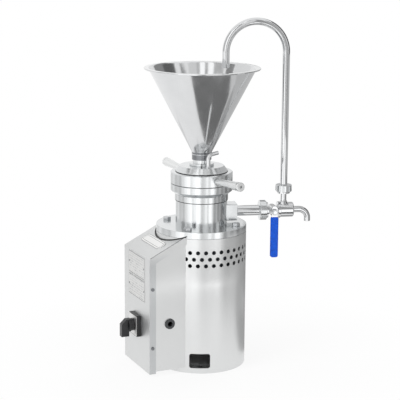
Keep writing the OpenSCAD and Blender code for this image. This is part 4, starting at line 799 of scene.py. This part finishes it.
# Short steps next to each bend keep the long cone's shading straight.
inner_foot, inner_top = (NECK_R - WALL + 0.9, CONE_Z + 2), (RIM_R - WALL - 1, RIM_Z - 1.5)
outer_foot, outer_top = (NECK_R + 1.0, CONE_Z + 2), (RIM_R - 1.4, RIM_Z - 2.9)
outline = [(BORE_R, HUB_Z - SPIGOT_L), (BORE_R, HUB_Z + HUB_T), (NECK_R - WALL, HUB_Z + HUB_T),
           (NECK_R - WALL, CONE_Z - 2)]
outline += [along(inner_foot, inner_top, share) for share in (0, 0.012, 0.4, 0.99, 1)]
outline += [(RIM_R - WALL + 0.6, RIM_Z)] + rim_bead
outline += [(LIP_R - BEAD_R - 1.4, RIM_Z - 1.5), (RIM_R, RIM_Z - 1.5)]
outline += [along(outer_top, outer_foot, share) for share in (0, 0.01, 0.6, 0.988, 1)]
outline += [(NECK_R, CONE_Z - 1), (NECK_R, HUB_Z), (SPIGOT_R, HUB_Z), (SPIGOT_R, HUB_Z - SPIGOT_L),
            (BORE_R, HUB_Z - SPIGOT_L)]
hopper = dress(turned("spun_hopper", outline, HOPPER_STEPS), "hopper", mirror_stainless)
# The neck's faces take the darker finish: a painted reflection.
hopper.data.materials.append(neck_painted_reflection)
for face in hopper.data.polygons:
    if face.center.z < (CONE_Z + DARK_NECK_TOP) * MM:
        face.material_index = 1
print(hopper.name, len(hopper.data.polygons), "faces")

# %% [markdown]
# ## Welds on the hopper
# Where sheet and tube are joined, a weld leaves a low rounded bead. The cone's seam is
# a long thin spindle that is spun and laid on the cone, half sunk in its wall. The
# neck has a ring, spun round the hopper's own axis.

# %% Weld the hopper
CONE_SLOPE, SEAM_TURN = math.radians(27.5), math.radians(-99.5)
SEAM_START = 14  # mm up the cone's side from the neck
SPINDLE = ((0, 0), (0.55, 4), (0.8, 20), (0.7, 45), (0.8, 70), (0.6, 95), (0, 112))  # mm
SPINDLE_STEPS, NECK_STEPS = 12, 96
SUNK = 0.3  # mm that a weld ring lies under the surface
UNTURNED = UNMOVED = (0, 0, 0)


def lay(piece, turns, offset, look, body):
    """Turns a piece about X, Y and Z in radians, moves it in mm and bakes that in its mesh."""
    bpy.ops.object.select_all(action="DESELECT")
    piece.select_set(True)
    bpy.context.view_layer.objects.active = piece
    piece.rotation_euler = turns
    piece.location = [v * MM for v in offset]
    bpy.ops.object.transform_apply(location=True, rotation=True, scale=True)
    piece.data.materials.append(look)
    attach(piece, body)
    print(piece.name, len(piece.data.polygons), "faces")


def weld_outline(radius, proud, flat):
    """Outline of a round bead about a pipe of that radius, in mm."""
    half_turn = [math.pi * i / 8 for i in range(9)]
    inner = radius - SUNK
    return [(inner + proud * math.sin(a), flat * math.cos(a)) for a in half_turn] + [(inner, flat)]


seam_r, seam_z = NECK_R + SEAM_START * math.sin(CONE_SLOPE), CONE_Z + SEAM_START * math.cos(CONE_SLOPE)
seam_foot = (seam_r * math.cos(SEAM_TURN), seam_r * math.sin(SEAM_TURN), seam_z)
lay(turned("hopper_seam", SPINDLE, SPINDLE_STEPS), (0, CONE_SLOPE, SEAM_TURN), seam_foot,
    machined_steel, "head")
lay(turned("neck_weld", weld_outline(NECK_R, 1.1, 1.3), NECK_STEPS), UNTURNED, (0, 0, CONE_Z - 3),
    machined_steel, "head")

# %% [markdown]
# ## Dark rings in the gaps
# Where the cover dips into the adjusting ring, and under the mill body's shoulder, a gap lies in shade. A
# flat ring in the dark rubber finish is laid in each gap as a painted shadow, which the camera sees as a thin
# dark line. They are spun from a rectangle.

# %% Spin the dark rings
DARK_RING_STEPS = 128
DARK_RING_DEPTH = 1.5  # mm that a ring lies inside the steel
COVER_R, RING_TOP, BODY_R, SHOULDER_Z = 57.5, 435.4, 57.0, 373.0  # mm


def dark_ring_outline(radius, bottom, proud, height):
    """Outline of a flat dark ring that stands proud of that radius, in mm."""
    inner, outer, top = radius - DARK_RING_DEPTH, radius + proud, bottom + height
    return [(inner, bottom), (outer, bottom), (outer, top), (inner, top), (inner, bottom)]


# Both rings are painted shadows in the gaps.
lay(turned("cover_gap_shadow_ring", dark_ring_outline(COVER_R, RING_TOP + 0.1, 0.4, 1.1), DARK_RING_STEPS), UNTURNED, UNMOVED,
    black_rubber, "head")
lay(turned("shoulder_gap_shadow_ring", dark_ring_outline(BODY_R, SHOULDER_Z - 1.7, 1.4, 1.8), DARK_RING_STEPS), UNTURNED,
    UNMOVED, black_rubber, "machine")

# %% [markdown]
# ## Welds on the outlet line
# The outlet pipe is welded to the mill body's boss and the spout to the valve. Each
# weld is a ring like the one on the hopper's neck, turned to lie round the outlet's axis.

# %% Weld the outlet line
OUTLET_TURN, AXIS_Z = math.radians(-15.5), 343.0  # turn about the housing, and height in mm
ROUND_OUTLET = (0, math.pi / 2, OUTLET_TURN)
PIPE_R, PIPE_END, PIPE_STEPS = 11.5, 79, 64  # mm: the pipe's radius, and where it leaves the boss
SPOUT_R, SPOUT_END, SPOUT_STEPS = 7, 208, 48  # mm: the spout's radius, and where it leaves the valve


def on_outlet(reach):
    """A place on the outlet's axis, by its reach from the housing's axis in mm."""
    return (reach * math.cos(OUTLET_TURN), reach * math.sin(OUTLET_TURN), AXIS_Z)


lay(turned("pipe_weld", weld_outline(PIPE_R, 1.5, 1.6), PIPE_STEPS), ROUND_OUTLET, on_outlet(PIPE_END),
    machined_steel, "machine")
lay(turned("spout_weld", weld_outline(SPOUT_R, 1.2, 1.4), SPOUT_STEPS), ROUND_OUTLET, on_outlet(SPOUT_END),
    machined_steel, "machine")

# %% [markdown]
# ## Shadow cord at the lid's edge
# Where the lid is cut round the housing, the gap under the top flange lies in shade, and a dark cord along
# the sheet's edge stands for it as a painted shadow.
# On the slope that edge is an ellipse, so a ring is spun, stretched along the slope,
# tilted to it and cut off at the lid's two sides.

# %% Lay the shadow cord
CORD_R, CORD_D, LID_HALF = 101.6, 3.0, 74.0  # mm
CORD_STEPS, CORD_SIDES = 128, 10
around_cord = [math.tau * i / CORD_SIDES for i in range(CORD_SIDES + 1)]
cord = [(CORD_R + CORD_D / 2 * math.cos(a), CORD_D / 2 * math.sin(a)) for a in around_cord]
# The cord is a painted shadow along the lid's edge.
lid_shadow_cord = turned("lid_edge_shadow_cord", cord, CORD_STEPS)
bpy.ops.object.mode_set(mode="EDIT")
bpy.ops.mesh.select_all(action="SELECT")
bpy.ops.transform.resize(value=(1 / math.cos(SLOPE), 1, 1))
bpy.ops.object.mode_set(mode="OBJECT")
lay(lid_shadow_cord, (0, -SLOPE, 0), (0, 0, slope_z(0)), black_rubber, "machine")
cord_end = -math.sqrt(CORD_R ** 2 - LID_HALF ** 2) * MM
bpy.ops.object.mode_set(mode="EDIT")
bpy.ops.mesh.select_all(action="SELECT")
bpy.ops.mesh.bisect(plane_co=(cord_end, 0, 0), plane_no=(1, 0, 0), use_fill=True, clear_outer=True)
bpy.ops.object.mode_set(mode="OBJECT")
print(lid_shadow_cord.name, len(lid_shadow_cord.data.polygons), "faces after the cut")

# %% [markdown]
# ## Inner pieces
# What is hidden in the housing, the mill and the box keeps its solid as it is. Softened
# edges would cost faces that nobody sees, so these solids only get their finish.

# %% Finish the inner solids
INNER = (
    (painted_iron, ("motor_frame", "lower_end_shield")),
    (core_sheet, ("stator_core", "rotor_core")),
    (copper, ("windings",)),
    (machined_steel, ("shield_screws", "body_screws", "guide_pins", "main_shaft", "rotor_key", "mill_rotor",
                      "mill_stator", "seal_spring", "switch_spindle")),
    (ground_steel, ("bearing_outer_rings", "bearing_inner_rings", "bearing_balls")),
    (carbon, ("seal_seat", "seal_ring")),
    (white_polymer, ("union_gaskets", "terminal_block")),
    (black_moulding, ("cooling_fan", "switch_block")),
    (black_rubber, ("stator_o_ring",)),
    (turned_stainless, ("rotor_cap", "valve_plug")),
)
for look, nodes in INNER:
    for node in nodes:
        solid = frame["nodes"][node]
        solid.data.materials.clear()
        solid.data.materials.append(look)
print("inner solids:", sum(len(nodes) for _, nodes in INNER))
